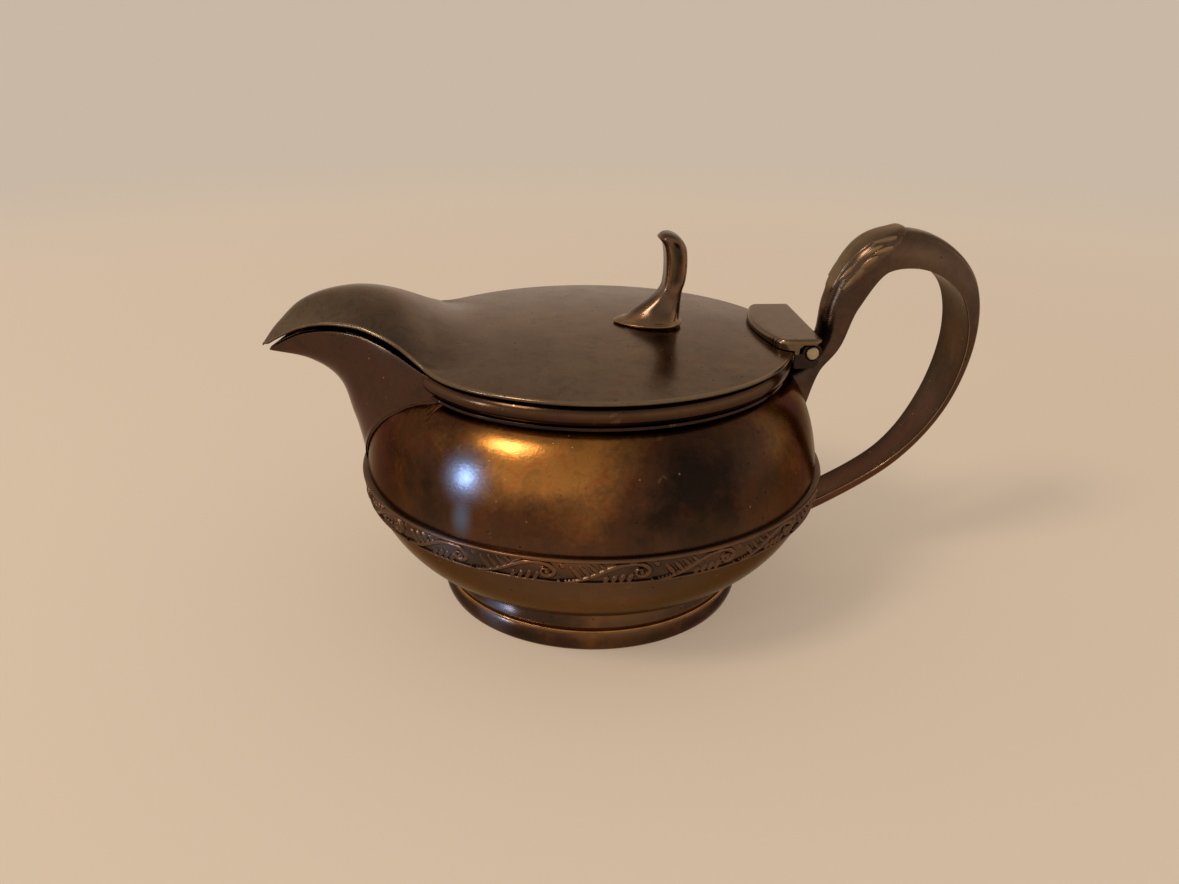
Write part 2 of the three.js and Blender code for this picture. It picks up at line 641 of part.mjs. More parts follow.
// The cover leaf over the hinge: a tongue with a bowed front, hollowed below to clear the knuckles.
function makeHingeLeaf() {
  const rear = PIN_REACH + LEAF_REAR_OVERHANG;
  const front = rear - LEAF_LENGTH;
  const top = domeHeight(front, 0) + LEAF_RISE;
  const under = PIN_HEIGHT + SEAT_GAP;
  const side = [
    [front, under],
    [rear, under],
    [rear, top - LEAF_EDGE_ROUND],
    [rear - LEAF_EDGE_ROUND, top],
    [front + LEAF_EDGE_ROUND, top],
    [front, top - LEAF_EDGE_ROUND],
  ];
  const half = LEAF_WIDTH / 2;
  const shoulder = front + LEAF_FRONT_BOW;
  const tongue = new THREE.Shape();
  tongue.moveTo(rear - LEAF_REAR_CORNER, -half);
  tongue.quadraticCurveTo(rear, -half, rear, LEAF_REAR_CORNER - half);
  tongue.lineTo(rear, half - LEAF_REAR_CORNER);
  tongue.quadraticCurveTo(rear, half, rear - LEAF_REAR_CORNER, half);
  tongue.lineTo(shoulder + LEAF_CORNER, half);
  tongue.quadraticCurveTo(shoulder, half, shoulder - LEAF_EDGE_ROUND, half - LEAF_CORNER);
  tongue.quadraticCurveTo(front - LEAF_EDGE_ROUND, 0, shoulder - LEAF_EDGE_ROUND, LEAF_CORNER - half);
  tongue.quadraticCurveTo(shoulder, -half, shoulder + LEAF_CORNER, -half);
  const options = { depth: 2 * LEAF_LENGTH, bevelEnabled: false, curveSegments: 6 };
  const plan = new THREE.ExtrudeGeometry(tongue, options).translate(0, 0, MOUTH_HEIGHT - OVERCUT);
  const hollow = hingeBar(KNUCKLE_HOLLOW, -LEAF_WIDTH, LEAF_WIDTH);
  const overPlate = turned([
    [0, MOUTH_HEIGHT - OVERCUT],
    [LID_RADIUS + SEAT_GAP, MOUTH_HEIGHT - OVERCUT],
    ...evenly(8, (share) => {
      const radius = (LID_RADIUS + SEAT_GAP) * (1 - share);
      return [radius, domeHeight(radius, 0) + SEAT_GAP];
    }),
  ]);
  return pulledAcross(side, LEAF_WIDTH).intersect(toSolid(plan)).subtract(hollow).subtract(overPlate);
}

// One level loop of the finial: round for its stem, narrower to the front for its base.
function finialLoop(front, rear, halfWidth, narrowed) {
  const turn = (2 * Math.PI) / FINIAL_ROUND_STEPS;
  const squareness = narrowed ? 1 : FINIAL_STEM_SQUARENESS;
  return Array.from({ length: FINIAL_ROUND_STEPS }, (_, i) => {
    const along = 0.5 + 0.5 * signedPower(Math.cos(i * turn), squareness);
    const taper = narrowed ? 1 - FINIAL_BASE_FRONT_TAPER * (1 - Math.cos(i * turn)) : 1;
    return new THREE.Vector3(
      mix(front[0], rear[0], along),
      halfWidth * taper * signedPower(Math.sin(i * turn), squareness),
      mix(front[1], rear[1], along),
    );
  });
}

// The finial from the edge of its base, over the flare of its foot, up to its curled end.
function makeFinial() {
  const crown = LID_EDGE_TOP + LID_DOME;
  const rear = FINIAL_FRONT + FINIAL_BASE_LENGTH;
  const plate = (height, inset) =>
    finialLoop(
      [FINIAL_FRONT + 2 * inset, crown + height],
      [rear - inset, crown + height],
      FINIAL_BASE_HALF_WIDTH - inset,
      true,
    );
  const base = [plate(SEAT_GAP, 0), plate(SEAT_GAP + FINIAL_BASE_EDGE, 0), plate(FINIAL_BASE_CREST, 1)];
  const placed = ([along, up]) => [FINIAL_FRONT + FINIAL_BASE_LENGTH * along, crown + FINIAL_HEIGHT * up];
  const stem = FINIAL_STEM.map(({ front, rear: back, width }) =>
    finialLoop(placed(front), placed(back), FINIAL_STEM_HALF_WIDTH * width, false),
  );
  return skinned([...base, ...stem]);
}

// The jug stands still and the lid turns on the pin.
const jug = new THREE.Group();
jug.add(
  piece("body_bowl", makeBowl(), tarnishedPlate()),
  piece("foot_ring", makeFoot(), tarnishedPlate()),
  piece("rim_moulding", makeRimMoulding(), tarnishedPlate()),
  piece("ornament_band", makeOrnamentBand(), rolledPlate()),
  piece("spout", makeSpout(), spoutPlate()),
  piece("handle", makeHandle(), castPlate()),
  piece("hinge_bracket", makeHingeBracket(), castPlate()),
  piece("hinge_pin", makeHingePin(), paleMetal()),
);

const lid = new THREE.Group();
lid.add(
  piece("lid_plate", makeLidPlate(), lidPlate()),
  piece("lid_knuckle", makeLidKnuckle(), castPlate()),
  piece("hinge_leaf", makeHingeLeaf(), lidPlate()),
  piece("finial", makeFinial(), castPlate()),
);

// The origin is the middle of the creamer's length, on the table.
const standing = new THREE.Group();
standing.add(jug, lid);
const extent = new THREE.Box3().setFromObject(standing);
standing.position.x = -(extent.min.x + extent.max.x) / 2;

const creamer = new THREE.Group();
creamer.add(standing);
export default creamer;
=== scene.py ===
"""Covered creamer in tarnished plate: a round bowl on a stepped foot, a beak spout under a hinged hooded
lid with a scroll finial, a cast strap handle with a leaf on it, and a rolled band of leaf scrolls.

Shapes are worked out in millimetres round the upright axis of the bowl, spout towards -X, and set down
in the frame's metres. The solids of the frame give the place of that axis and the bodies that move.
"""

import bpy
import numpy as np
from mathutils import Matrix, Vector


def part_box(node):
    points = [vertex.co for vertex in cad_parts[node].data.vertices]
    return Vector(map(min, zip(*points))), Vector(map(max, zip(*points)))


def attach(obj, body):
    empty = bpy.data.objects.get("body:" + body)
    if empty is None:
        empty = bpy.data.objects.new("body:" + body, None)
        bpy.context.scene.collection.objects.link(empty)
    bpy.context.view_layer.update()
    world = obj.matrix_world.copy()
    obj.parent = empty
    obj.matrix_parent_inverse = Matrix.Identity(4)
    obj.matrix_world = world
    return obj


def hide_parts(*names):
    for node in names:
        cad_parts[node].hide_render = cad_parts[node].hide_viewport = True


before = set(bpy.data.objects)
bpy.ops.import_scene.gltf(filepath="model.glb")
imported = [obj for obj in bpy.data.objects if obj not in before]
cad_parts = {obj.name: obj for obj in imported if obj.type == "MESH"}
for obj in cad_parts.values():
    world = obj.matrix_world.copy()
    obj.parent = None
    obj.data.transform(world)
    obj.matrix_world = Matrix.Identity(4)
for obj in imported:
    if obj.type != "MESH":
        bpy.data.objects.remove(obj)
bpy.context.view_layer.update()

MM = 0.001
foot_low, foot_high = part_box("foot_ring")
AXIS_X = (foot_low.x + foot_high.x) / 2 / MM

# ---- sizes, in millimetres -------------------------------------------------------------------------

BELLY_RADIUS, BELLY_HEIGHT = 44.4, 26.4
BASE_RADIUS, BASE_HEIGHT, BASE_SAG = 28.6, 8.2, 1.4
FULL_BELOW, FULL_ABOVE = 1.65, 1.8
NECK_RADIUS, SHOULDER, NECK_LENGTH = 35.6, 46.6, 4.7
WALL = 1.2
MOUTH = SHOULDER + NECK_LENGTH
SEAT = 0.3

BAND_BOTTOM, BAND_TOP, BAND_GROUND = 22.9, 28.1, 0.45
MOTIFS = 18
MOTIF_LENGTH = 2 * np.pi * BELLY_RADIUS / MOTIFS

SPOUT_LENGTH, SPOUT_HALF, SPOUT_RISE = 30.3, 21.8, 5.2
SPOUT_ROOT, SPOUT_WALL = 28.3, 1.1
SPOUT_ROOT_FULL, SPOUT_LIP_FULL = 1.3, 1.8

LID_RADIUS, LID_THICK, LID_DOME = 38.2, 1.0, 2.3
LID_UNDER = MOUTH + SEAT - LID_DOME * (1 - (NECK_RADIUS / LID_RADIUS) ** 2)
LID_TOP = LID_UNDER + LID_THICK
HOOD_RISE, HOOD_SIDE, HOOD_NOSE, HOOD_FADE = 4.8, 0.5, 1.4, 11.0
HOOD_START = -np.sqrt(LID_RADIUS**2 - (SPOUT_HALF + HOOD_SIDE) ** 2)
SPOUT_EDGE_Z = LID_UNDER - SEAT

PIN_REACH, PIN_HEIGHT, PIN_RADIUS = NECK_RADIUS + 4.4, MOUTH + 0.1, 1.25
HINGE_WIDTH, EAR, KNUCKLE_RADIUS = 23.0, 4.0, 1.9
LID_REAR = PIN_REACH - KNUCKLE_RADIUS - 0.5

HANDLE_REACH, HANDLE_RISE, HANDLE_FOOT = 38.0, 18.0, 12.2
HANDLE_THICK, HANDLE_HALF = 7.3, 5.3

FINIAL_FRONT, FINIAL_LENGTH, FINIAL_HALF, FINIAL_HEIGHT = 3.9, 13.0, 7.0, 17.4

LEAF_WIDTH, LEAF_LENGTH, LEAF_RISE, LEAF_HOLLOW = 26.0, 10.6, 1.38, 2.45
LEAF_REAR = PIN_REACH + 1.4

# Each piece takes the place of a solid of the frame: the body that it rides on, and its finish's slot
SOLIDS = {
    "body_bowl": ("jug", "tarnished_plate_bowl"),
    "foot_ring": ("jug", "tarnished_plate_foot"),
    "rim_moulding": ("jug", "tarnished_plate_rim"),
    "ornament_band": ("jug", "rolled_band"),
    "spout": ("jug", "tarnished_plate_spout"),
    "handle": ("jug", "cast_handle"),
    "hinge_bracket": ("jug", "hinge_metal"),
    "hinge_pin": ("jug", "pin_metal"),
    "lid_knuckle": ("lid", "hinge_metal"),
    "lid_plate": ("lid", "worn_plate_lid"),
    "hinge_leaf": ("lid", "worn_plate_leaf"),
    "finial": ("lid", "cast_finial"),
}


# ---- curves, grids and meshes ----------------------------------------------------------------------


def line_through(places, share):
    """Catmull-Rom line: a cubic between each two places, whose slope at a place is half the step between
    its neighbours. share runs from 0 to 1 over all places in equal steps."""
    places = np.asarray(places, float)
    padded = np.vstack([2 * places[0] - places[1], places, 2 * places[-1] - places[-2]])
    time = np.clip(share, 0, 1) * (len(places) - 1)
    start = np.minimum(time.astype(int), len(places) - 2)
    w = (time - start)[..., None]
    a, b, c, d = (padded[start + k] for k in range(4))
    return 0.5 * (2 * b + (c - a) * w + (2 * a - 5 * b + 4 * c - d) * w**2 + (3 * b - a - 3 * c + d) * w**3)


def rounded(corners, radii, steps=6):
    """The outline through the corners, with each inner corner cut off by a quadratic curve that starts and
    ends its radius away from the corner."""
    corners = np.asarray(corners, float)
    out = [corners[:1]]
    for i in range(1, len(corners) - 1):
        before, here, after = corners[i - 1 : i + 2]
        r = radii[i - 1]
        first = here + (before - here) / np.linalg.norm(before - here) * r
        last = here + (after - here) / np.linalg.norm(after - here) * r
        t = np.linspace(0, 1, steps)[:, None]
        out.append(first * (1 - t) ** 2 + 2 * here * t * (1 - t) + last * t**2)
    out.append(corners[-1:])
    return np.vstack(out)


def smooth(low, high, x):
    """Smooth step: 0 below low, 1 above high, and a cubic between."""
    t = np.clip((x - low) / (high - low), 0, 1)
    return t * t * (3 - 2 * t)


def signed_power(x, power):
    """The power of a number's size, with the number's own sign."""
    return np.sign(x) * np.abs(x) ** power


def full_circle(count):
    """Angles once round in equal steps."""
    return np.linspace(0, 2 * np.pi, count, endpoint=False)


def coords(*axes):
    """Places, or corners of a face, from their coordinates."""
    return np.stack(np.broadcast_arrays(*axes), axis=-1)


def turned(radius, turn, height):
    """Places at a radius and an angle round the upright axis of the bowl, and at a height."""
    return coords(radius * np.cos(turn), radius * np.sin(turn), height)


def turned_grid(profile, turn):
    """A profile of radius and height turned about the upright axis through the given angles."""
    return turned(profile[:, 0, None], turn, profile[:, 1, None])


def surface(name, grid, node, along=False, ends="fan", rub=0.0, sharp=42):
    """A closed mesh on a grid of rows by columns. Columns close on themselves, and rows too where along is
    true. An end row is closed by a fan round its middle, or by pairing the first half of its points with
    the second half run backwards. A mark at each place of the grid says how much the metal is brightened
    there, by rubbed wear and by painted highlights, and below 0 how much painted shade lies on it."""
    rows, columns = grid.shape[:2]
    places = grid.reshape(-1, 3)
    wear_and_light_mask = np.broadcast_to(rub, (rows, columns)).ravel()
    i, j = np.meshgrid(np.arange(rows if along else rows - 1), np.arange(columns), indexing="ij")
    i2, j2 = (i + 1) % rows, (j + 1) % columns
    quads = coords(i * columns + j, i * columns + j2, i2 * columns + j2, i2 * columns + j).reshape(-1, 4)
    triangles = np.zeros((0, 3), int)
    if not along and ends == "fan":
        k = np.arange(columns)
        k2 = (k + 1) % columns
        last, middle = (rows - 1) * columns, len(places)
        places = np.vstack([places, grid[0].mean(axis=0), grid[-1].mean(axis=0)])
        wear_and_light_mask = np.append(wear_and_light_mask, [wear_and_light_mask[0], wear_and_light_mask[last]])
        triangles = np.vstack([coords(k2, k, middle), coords(last + k, last + k2, middle + 1)])
    if not along and ends == "pair":
        k = np.arange(columns // 2 - 1)
        closing = coords(k + 1, k, columns - 1 - k, columns - 2 - k)
        quads = np.vstack([quads, closing, closing[:, ::-1] + (rows - 1) * columns])
    return mesh_object(name, places, quads, triangles, wear_and_light_mask, node, sharp)


def mesh_object(name, places, quads, triangles, wear_and_light_mask, node, sharp):
    """The object of a mesh, faces outwards: where the signed volume, a third of the sum of each face's
    corner products, is negative, every face is turned round."""
    fan = np.vstack([quads[:, [0, 1, 2]], quads[:, [0, 2, 3]], triangles])
    a, b, c = (places[fan[:, k]] for k in range(3))
    if np.einsum("ij,ij->i", a, np.cross(b, c)).sum() < 0:
        quads, triangles = quads[:, ::-1], triangles[:, ::-1]
    mesh = bpy.data.meshes.new(name)
    mesh.vertices.add(len(places))
    mesh.vertices.foreach_set("co", ((places + [AXIS_X, 0, 0]) * MM).ravel())
    corners = np.concatenate([quads.ravel(), triangles.ravel()])
    sizes = np.concatenate([np.full(len(quads), 4), np.full(len(triangles), 3)])
    mesh.loops.add(len(corners))
    mesh.loops.foreach_set("vertex_index", corners)
    mesh.polygons.add(len(sizes))
    mesh.polygons.foreach_set("loop_start", np.concatenate([[0], np.cumsum(sizes)[:-1]]))
    mesh.update(calc_edges=True)
    mesh.validate()
    # The mark: rubbed wear and painted highlights above 0, painted shade below 0
    mesh.attributes.new("rub", "FLOAT", "POINT").data.foreach_set("value", wear_and_light_mask)
    mesh.shade_smooth()
    mesh.set_sharp_from_angle(angle=np.radians(sharp))
    made = bpy.data.objects.new(name, mesh)
    bpy.context.scene.collection.objects.link(made)
    body, slot = SOLIDS[node]
    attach(made, body)
    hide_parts(node)
    return made


def joined(name, parts):
    """Several closed surfaces kept as one piece."""
    first = parts[0]
    with bpy.context.temp_override(
        active_object=first, object=first, selected_objects=parts, selected_editable_objects=parts
    ):
        bpy.ops.object.join()
    first.name = name
    return first


def drop(a, b, start, end, wide, power, vein=0.0):
    """A drop-shaped ridge from start to end, from 0 to 1 high at the places a and b. Its half width is the
    root of a sine over the power of its length, its section is a half oval, and a fine vein may be sunk
    along its middle."""
    run, climb = end[0] - start[0], end[1] - start[1]
    length = np.hypot(run, climb)
    along = ((a - start[0]) * run + (b - start[1]) * climb) / length**2
    off = np.abs((a - start[0]) * climb - (b - start[1]) * run) / length
    half = wide * np.sqrt(np.clip(np.sin(np.clip(along, 0, 1) ** power * np.pi), 0, 1)) + 1e-6
    inside = np.clip(1 - (off / half) ** 2, 0, 1) * ((along > 0) & (along < 1))
    return np.sqrt(inside) * (1 - vein * np.exp(-((off / 0.1) ** 2)))


# ---- bowl, spout and what is soldered to them ------------------------------------------------------


def bowl_radius(z):
    """Outer radius of the bowl: two quarter super-ovals that meet at the belly, and the upright neck."""
    below = z < BELLY_HEIGHT
    span = np.where(below, BELLY_HEIGHT - BASE_HEIGHT, SHOULDER - BELLY_HEIGHT)
    full = np.where(below, FULL_BELOW, FULL_ABOVE)
    inner = np.where(below, BASE_RADIUS, NECK_RADIUS)
    share = np.minimum(1, np.abs(z - BELLY_HEIGHT) / span)
    return inner + (BELLY_RADIUS - inner) * (1 - share**full) ** (1 / full)


# The spout's edge from root to lip, as shares of its length, half width and rise
SPOUT_EDGE = np.array([[0, 1, 0], [0.23, 0.69, 0.65], [0.5, 0.46, 1], [0.78, 0.22, 0.67], [1, 0.02, -0.17]])
SPOUT_EDGE = SPOUT_EDGE * [-SPOUT_LENGTH, SPOUT_HALF, SPOUT_RISE] + [HOOD_START, 0, SPOUT_EDGE_Z]
# Its keel, as shares of the way from the bowl to the lip and of the drop from the mouth to its root
KEEL_SHARES = np.array([[0, 1], [0.135, 0.62], [0.25, 0.31], [0.56, 0.14], [1.01, 0.065]])
KEEL_START = -bowl_radius(np.array(SPOUT_ROOT))
SPOUT_KEEL = coords(
    KEEL_START + (HOOD_START - SPOUT_LENGTH - KEEL_START) * KEEL_SHARES[:, 0],
    0.0,
    MOUTH + (SPOUT_ROOT - MOUTH) * KEEL_SHARES[:, 1],
)
INWARD, WIDENS, ROOT_SUNK = 40.0, 0.5, 0.15
ROOT_RISE, ROOT_RISE_END, LIP_RISE = 0.9, 0.21, 0.25


def spout_edge(place):
    """The spout's upper edge: a smooth line, raised a little at its root, where the rise falls off by the
    power 1.2 of the distance, and at its lip."""
    edge = line_through(SPOUT_EDGE, place)
    rise = ROOT_RISE * np.clip(1 - place / ROOT_RISE_END, 0, 1) ** 1.2 * smooth(-0.05, 0.0, place)
    edge[..., 2] += rise + LIP_RISE * smooth(0.8, 0.95, place)
    return edge


def spout_skin(place, angle, grow):
    """The spout's skin: across, a super-oval arch hung from its two edges, y as the power of the sine of
    the angle and fall as the power of its cosine; along, edge and keel follow their own lines. Before
    place 0 the section moves on into the bowl and widens a little."""
    edge = spout_edge(place)
    keel = line_through(SPOUT_KEEL, place)
    inward = np.maximum(0, -place) * INWARD
    hang = coords(keel[..., 0] - edge[..., 0], keel[..., 2] - edge[..., 2])
    length = np.linalg.norm(hang, axis=-1)
    down = hang / length[..., None]
    depth = np.maximum(length + grow, 0.2)
    half = np.maximum(edge[..., 1] + grow, 0.2) + WIDENS * inward
    power = 2 / (SPOUT_ROOT_FULL + (SPOUT_LIP_FULL - SPOUT_ROOT_FULL) * np.clip(2 * place, 0, 1))
    fall = depth * np.maximum(np.cos(angle), 0) ** power
    y = half * signed_power(np.sin(angle), power)
    return coords(edge[..., 0] + down[..., 0] * fall + inward, y, edge[..., 2] + down[..., 1] * fall)


def leaves_bowl(angle, grow, radius_at):
    """For each arch angle, the place along the spout where its skin comes out through a round wall."""
    place = np.linspace(-0.3, 0.7, 501)
    grid_place, grid_angle = np.meshgrid(place, angle, indexing="ij")
    skin = spout_skin(grid_place, grid_angle, grow)
    outside = np.hypot(skin[..., 0], skin[..., 1]) - radius_at(skin[..., 2])
    crossed = (outside[:-1] <= 0) & (outside[1:] > 0)
    first = np.where(crossed.any(axis=0), crossed.argmax(axis=0), 0)
    columns = np.arange(len(angle))
    low, high = outside[first, columns], outside[first + 1, columns]
    return place[first] + (place[1] - place[0]) * np.clip(-low / (high - low), 0, 1)


def arch_angles(count):
    """Angles across the spout's arch, whose distance from an edge goes as the power 1.6, so that they lie
    closer together there."""
    w = np.linspace(-1, 1, count)
    return np.sign(w) * (1 - (1 - np.abs(w)) ** 1.6) * np.pi / 2


def opening_top(turn, radius_at):
    """Height at which the bowl's wall ends at each angle round the axis: at the mouth, or on the inside of
    the spout where that lies lower."""
    angle = arch_angles(241)
    seam = spout_skin(leaves_bowl(angle, -SPOUT_WALL, radius_at), angle, -SPOUT_WALL)
    seam_turn = np.arctan2(seam[:, 1], -seam[:, 0])
    off_axis = np.abs((turn + np.pi) % (2 * np.pi) - np.pi)
    from_spout = np.pi - off_axis
    order = np.argsort(seam_turn)
    inside = from_spout < seam_turn.max()
    height = np.interp(from_spout, seam_turn[order], seam[order, 2])
    return np.where(inside, np.minimum(height, MOUTH), MOUTH)


LIP_ROUND, DRAWN_FROM = 0.25, 27.0


def make_bowl():
    """Rows follow the bowl's profile, from the middle of its base out and up its outside, over its lip and
    back down its inside. Near the spout the heights above the belly are drawn together, so that the wall
    ends on the seam."""
    turn = full_circle(320)
    sag = np.linspace(0.02, 1, 14)
    base = coords((BASE_RADIUS - 0.8) * sag, BASE_HEIGHT - BASE_SAG * (1 - sag**2))
    rise = BASE_HEIGHT + (BELLY_HEIGHT - BASE_HEIGHT) * (1 - np.cos(np.linspace(0.03, 1, 26) * np.pi / 2))
    above = BELLY_HEIGHT + (SHOULDER - BELLY_HEIGHT) * np.sin(np.linspace(0, 1, 36)[1:] * np.pi / 2)
    neck = np.linspace(SHOULDER, MOUTH - LIP_ROUND, 8)[1:]
    heights = np.concatenate([rise, above, neck])[:, None]

    def wall(grow):
        """The wall's loops at every height, on the bowl's radius and so much more."""
        top = opening_top(turn, lambda z: bowl_radius(z) + grow)
        share = np.clip((heights - DRAWN_FROM) / (MOUTH - DRAWN_FROM), 0, None)
        z = np.where(heights > DRAWN_FROM, DRAWN_FROM + share * (top - DRAWN_FROM), heights)
        return turned(bowl_radius(z) + grow, turn, z)

    outside, inside = wall(0), wall(-WALL)[::-1]
    lip = 0.5 * (outside[-1:] + inside[:1]) + [0, 0, LIP_ROUND]
    floor = base[::-1] * [(BASE_RADIUS - WALL) / BASE_RADIUS, 1] + [0, WALL]
    grid = np.concatenate([turned_grid(base, turn), outside, lip, inside, turned_grid(floor, turn)])
    return surface("bowl", grid, "body_bowl")


SWELL, SWELL_ROUND, EDGE_ROUND = 1.1, 0.022, 0.32


def make_spout():
    """Rows run from the seam with the bowl to the lip. Each row goes round the shell: the outer skin from
    edge to edge and the inner skin back, drawn together over the rounded edge. At the seam the outer skin
    swells by the solder's thickness, most at the keel by the square of the angle's cosine."""
    angle = arch_angles(97)
    ease = np.linspace(0, 1, 110)[:, None] ** 1.5
    swell = np.clip(1 - ease * 5, 0, 1) ** 1.5 * SWELL * np.cos(angle) ** 2
    swell = swell * np.sqrt(np.clip(1 - (1 - ease / SWELL_ROUND) ** 2, 0, 1) + (ease > SWELL_ROUND))

    def skin_from(grow, more):
        """Places along the spout from the seam on, and its skin there."""
        start = leaves_bowl(angle, grow, lambda z: bowl_radius(z) - ROOT_SUNK)
        place = start + (1 - start) * ease
        return place, spout_skin(place, np.broadcast_to(angle, place.shape), grow + more)

    outer = skin_from(0, swell)[1]
    place, inner = skin_from(-SPOUT_WALL, 0)
    level = spout_skin(place, np.broadcast_to(angle, place.shape), 0)
    inner = inner + (level - inner) * smooth(0.93, 1.0, place)[..., None] * 0.8
    middle = 0.5 * (outer + inner)
    edge_z = spout_edge(np.clip(place, 0, 1))[..., 2]
    for skin in (outer, inner):
        fall = np.clip(edge_z - skin[..., 2], 0, EDGE_ROUND)
        round_in = 1 - np.sqrt(1 - (1 - fall / EDGE_ROUND) ** 2)
        skin[..., 1] += (middle[..., 1] - skin[..., 1]) * round_in
    grid = np.concatenate([outer, inner[:, ::-1]], axis=1)
    rub = 0.5 * np.concatenate([np.abs(angle) / (np.pi / 2)] * 2) ** 90
    return surface("spout_shell", grid, "spout", ends="pair", rub=rub)


FOOT_RADIUS, FOOT_SWELL, FOOT_LINING = 29.8, 0.62, 27.0
FOOT_BEAD, FOOT_BEAD_HEIGHT = 29.55, 3.98
COVE_BOTTOM, COVE_TOP, COVE_HEIGHT = 29.5, 28.05, 4.25


def make_foot():
    """A ring turned from its profile: a full ovolo that rests on the table, half a sine wave over its
    height; a bead on its shoulder, with a painted highlight line; a low cove up to the bowl, a quarter of a
    sine wave; and back down inside."""
    top = BASE_HEIGHT + 0.35
    height = np.linspace(0.3, 3.75, 16)
    bulge = coords(FOOT_RADIUS + FOOT_SWELL * np.sin((height - 0.1) / 4.1 * np.pi), height)
    over = np.linspace(-0.35, 1.25, 8)
    bead = coords(FOOT_BEAD + 0.38 * np.cos(over), FOOT_BEAD_HEIGHT + 0.3 * np.sin(over))
    share = np.linspace(0.06, 1, 14)
    cove_radius = COVE_BOTTOM + (COVE_TOP - COVE_BOTTOM) * np.sin(share * np.pi / 2)
    cove = coords(cove_radius, COVE_HEIGHT + (top - COVE_HEIGHT) * share**1.2)
    inside = [
        [FOOT_LINING, top], [FOOT_LINING - 0.02, top - 1.2], [FOOT_LINING, 5.6], [28.1, 2.4], [28.2, 1.2],
        [28.22, 0.2], [28.35, 0.02],
    ]
    profile = np.vstack([[[29.3, 0.0], [29.6, 0.04]], bulge, bead, cove, inside])
    radius, height = profile[:, :1], profile[:, 1:]
    # A painted highlight line along the bead, and rubbed wear along the edge that rests on the table
    rub = np.exp(-(((height - 4.1) / 0.3) ** 2)) * (radius > 29) + 0.5 * np.exp(-((height / 0.35) ** 2))
    return surface("foot", turned_grid(profile, full_circle(288)), "foot_ring", along=True, rub=rub)


RIM_BEAD, RIM_FILLET, RIM_GROOVE = 2.1, 1.5, 0.7
RIM_LIFT, RIM_LIFT_LENGTH = 0.8, 9


def make_rim():
    """The moulding round the neck: its profile is a small square fillet under a half-oval bead. It starts
    and ends inside the wall of the spout, and lifts by the square of its nearness to the hood's corners."""
    inner, bottom = NECK_RADIUS - 0.05, SHOULDER + SEAT
    groove, crest = bottom + RIM_GROOVE, MOUTH + 0.15
    middle, half = (groove + crest) / 2, (crest - groove) / 2
    angle = np.linspace(-0.5, 0.5, 25) * np.pi
    bead = coords(NECK_RADIUS + SEAT + RIM_BEAD * np.cos(angle) ** 0.9, middle + half * np.sin(angle))
    out = NECK_RADIUS + RIM_FILLET
    fillet = rounded([[inner, bottom], [out, bottom], [out, groove], [NECK_RADIUS + 0.4, groove]], [0.25, 0.2])
    profile = np.vstack([fillet, bead, [[inner, MOUTH]]])
    arch = arch_angles(241)
    ends = np.empty(len(profile))
    for k, (radius, height) in enumerate(profile):
        seam = spout_skin(leaves_bowl(arch, -0.5, lambda z: np.full_like(z, radius)), arch, -0.5)
        upper = seam[len(seam) // 2 :]
        ends[k] = np.arcsin(min(1, np.interp(height, upper[:, 2], upper[:, 1]) / radius))
    turn = -np.pi + ends + np.linspace(0, 1, 300)[:, None] * (2 * np.pi - 2 * ends)
    radius, height = profile.T
    lift = RIM_LIFT * np.clip(1 - (radius * np.cos(turn) - HOOD_START) / RIM_LIFT_LENGTH, 0, 1) ** 2
    # The bead's upper half is brightened: a painted highlight line
    rub = np.exp(-(((height - middle - 0.5) / 0.7) ** 2)) * (radius > NECK_RADIUS + 1.6)
    return surface("rim", turned(radius, turn, height + lift), "rim_moulding", rub=rub)


# ---- the rolled band -------------------------------------------------------------------------------


# The stem's line along and up the strip, from the lower line to the middle of the scroll
SCROLL_STEM = [
    [-1.2, 0.5], [0.3, 0.62], [1.9, 0.88], [3.5, 1.4], [5.1, 2.15], [6.6, 2.95], [8.2, 3.65], [9.9, 4.05],
    [11.5, 4.05], [12.9, 3.55], [13.6, 2.6], [13.1, 1.7], [12.1, 1.5], [11.4, 2.1], [11.6, 2.85], [12.4, 2.95],
]
# The scroll's eye and the end of a tendril: place along and up the strip, squeeze of its height, and rise
SCROLL_BOSSES = (12.35, 2.3, 1.0, 0.46), (14.9, 3.7, 0.8, 0.36)
BOSS_RADIUS, STEM_RISE, LOBE_RISE = 0.5, 0.5, 0.42


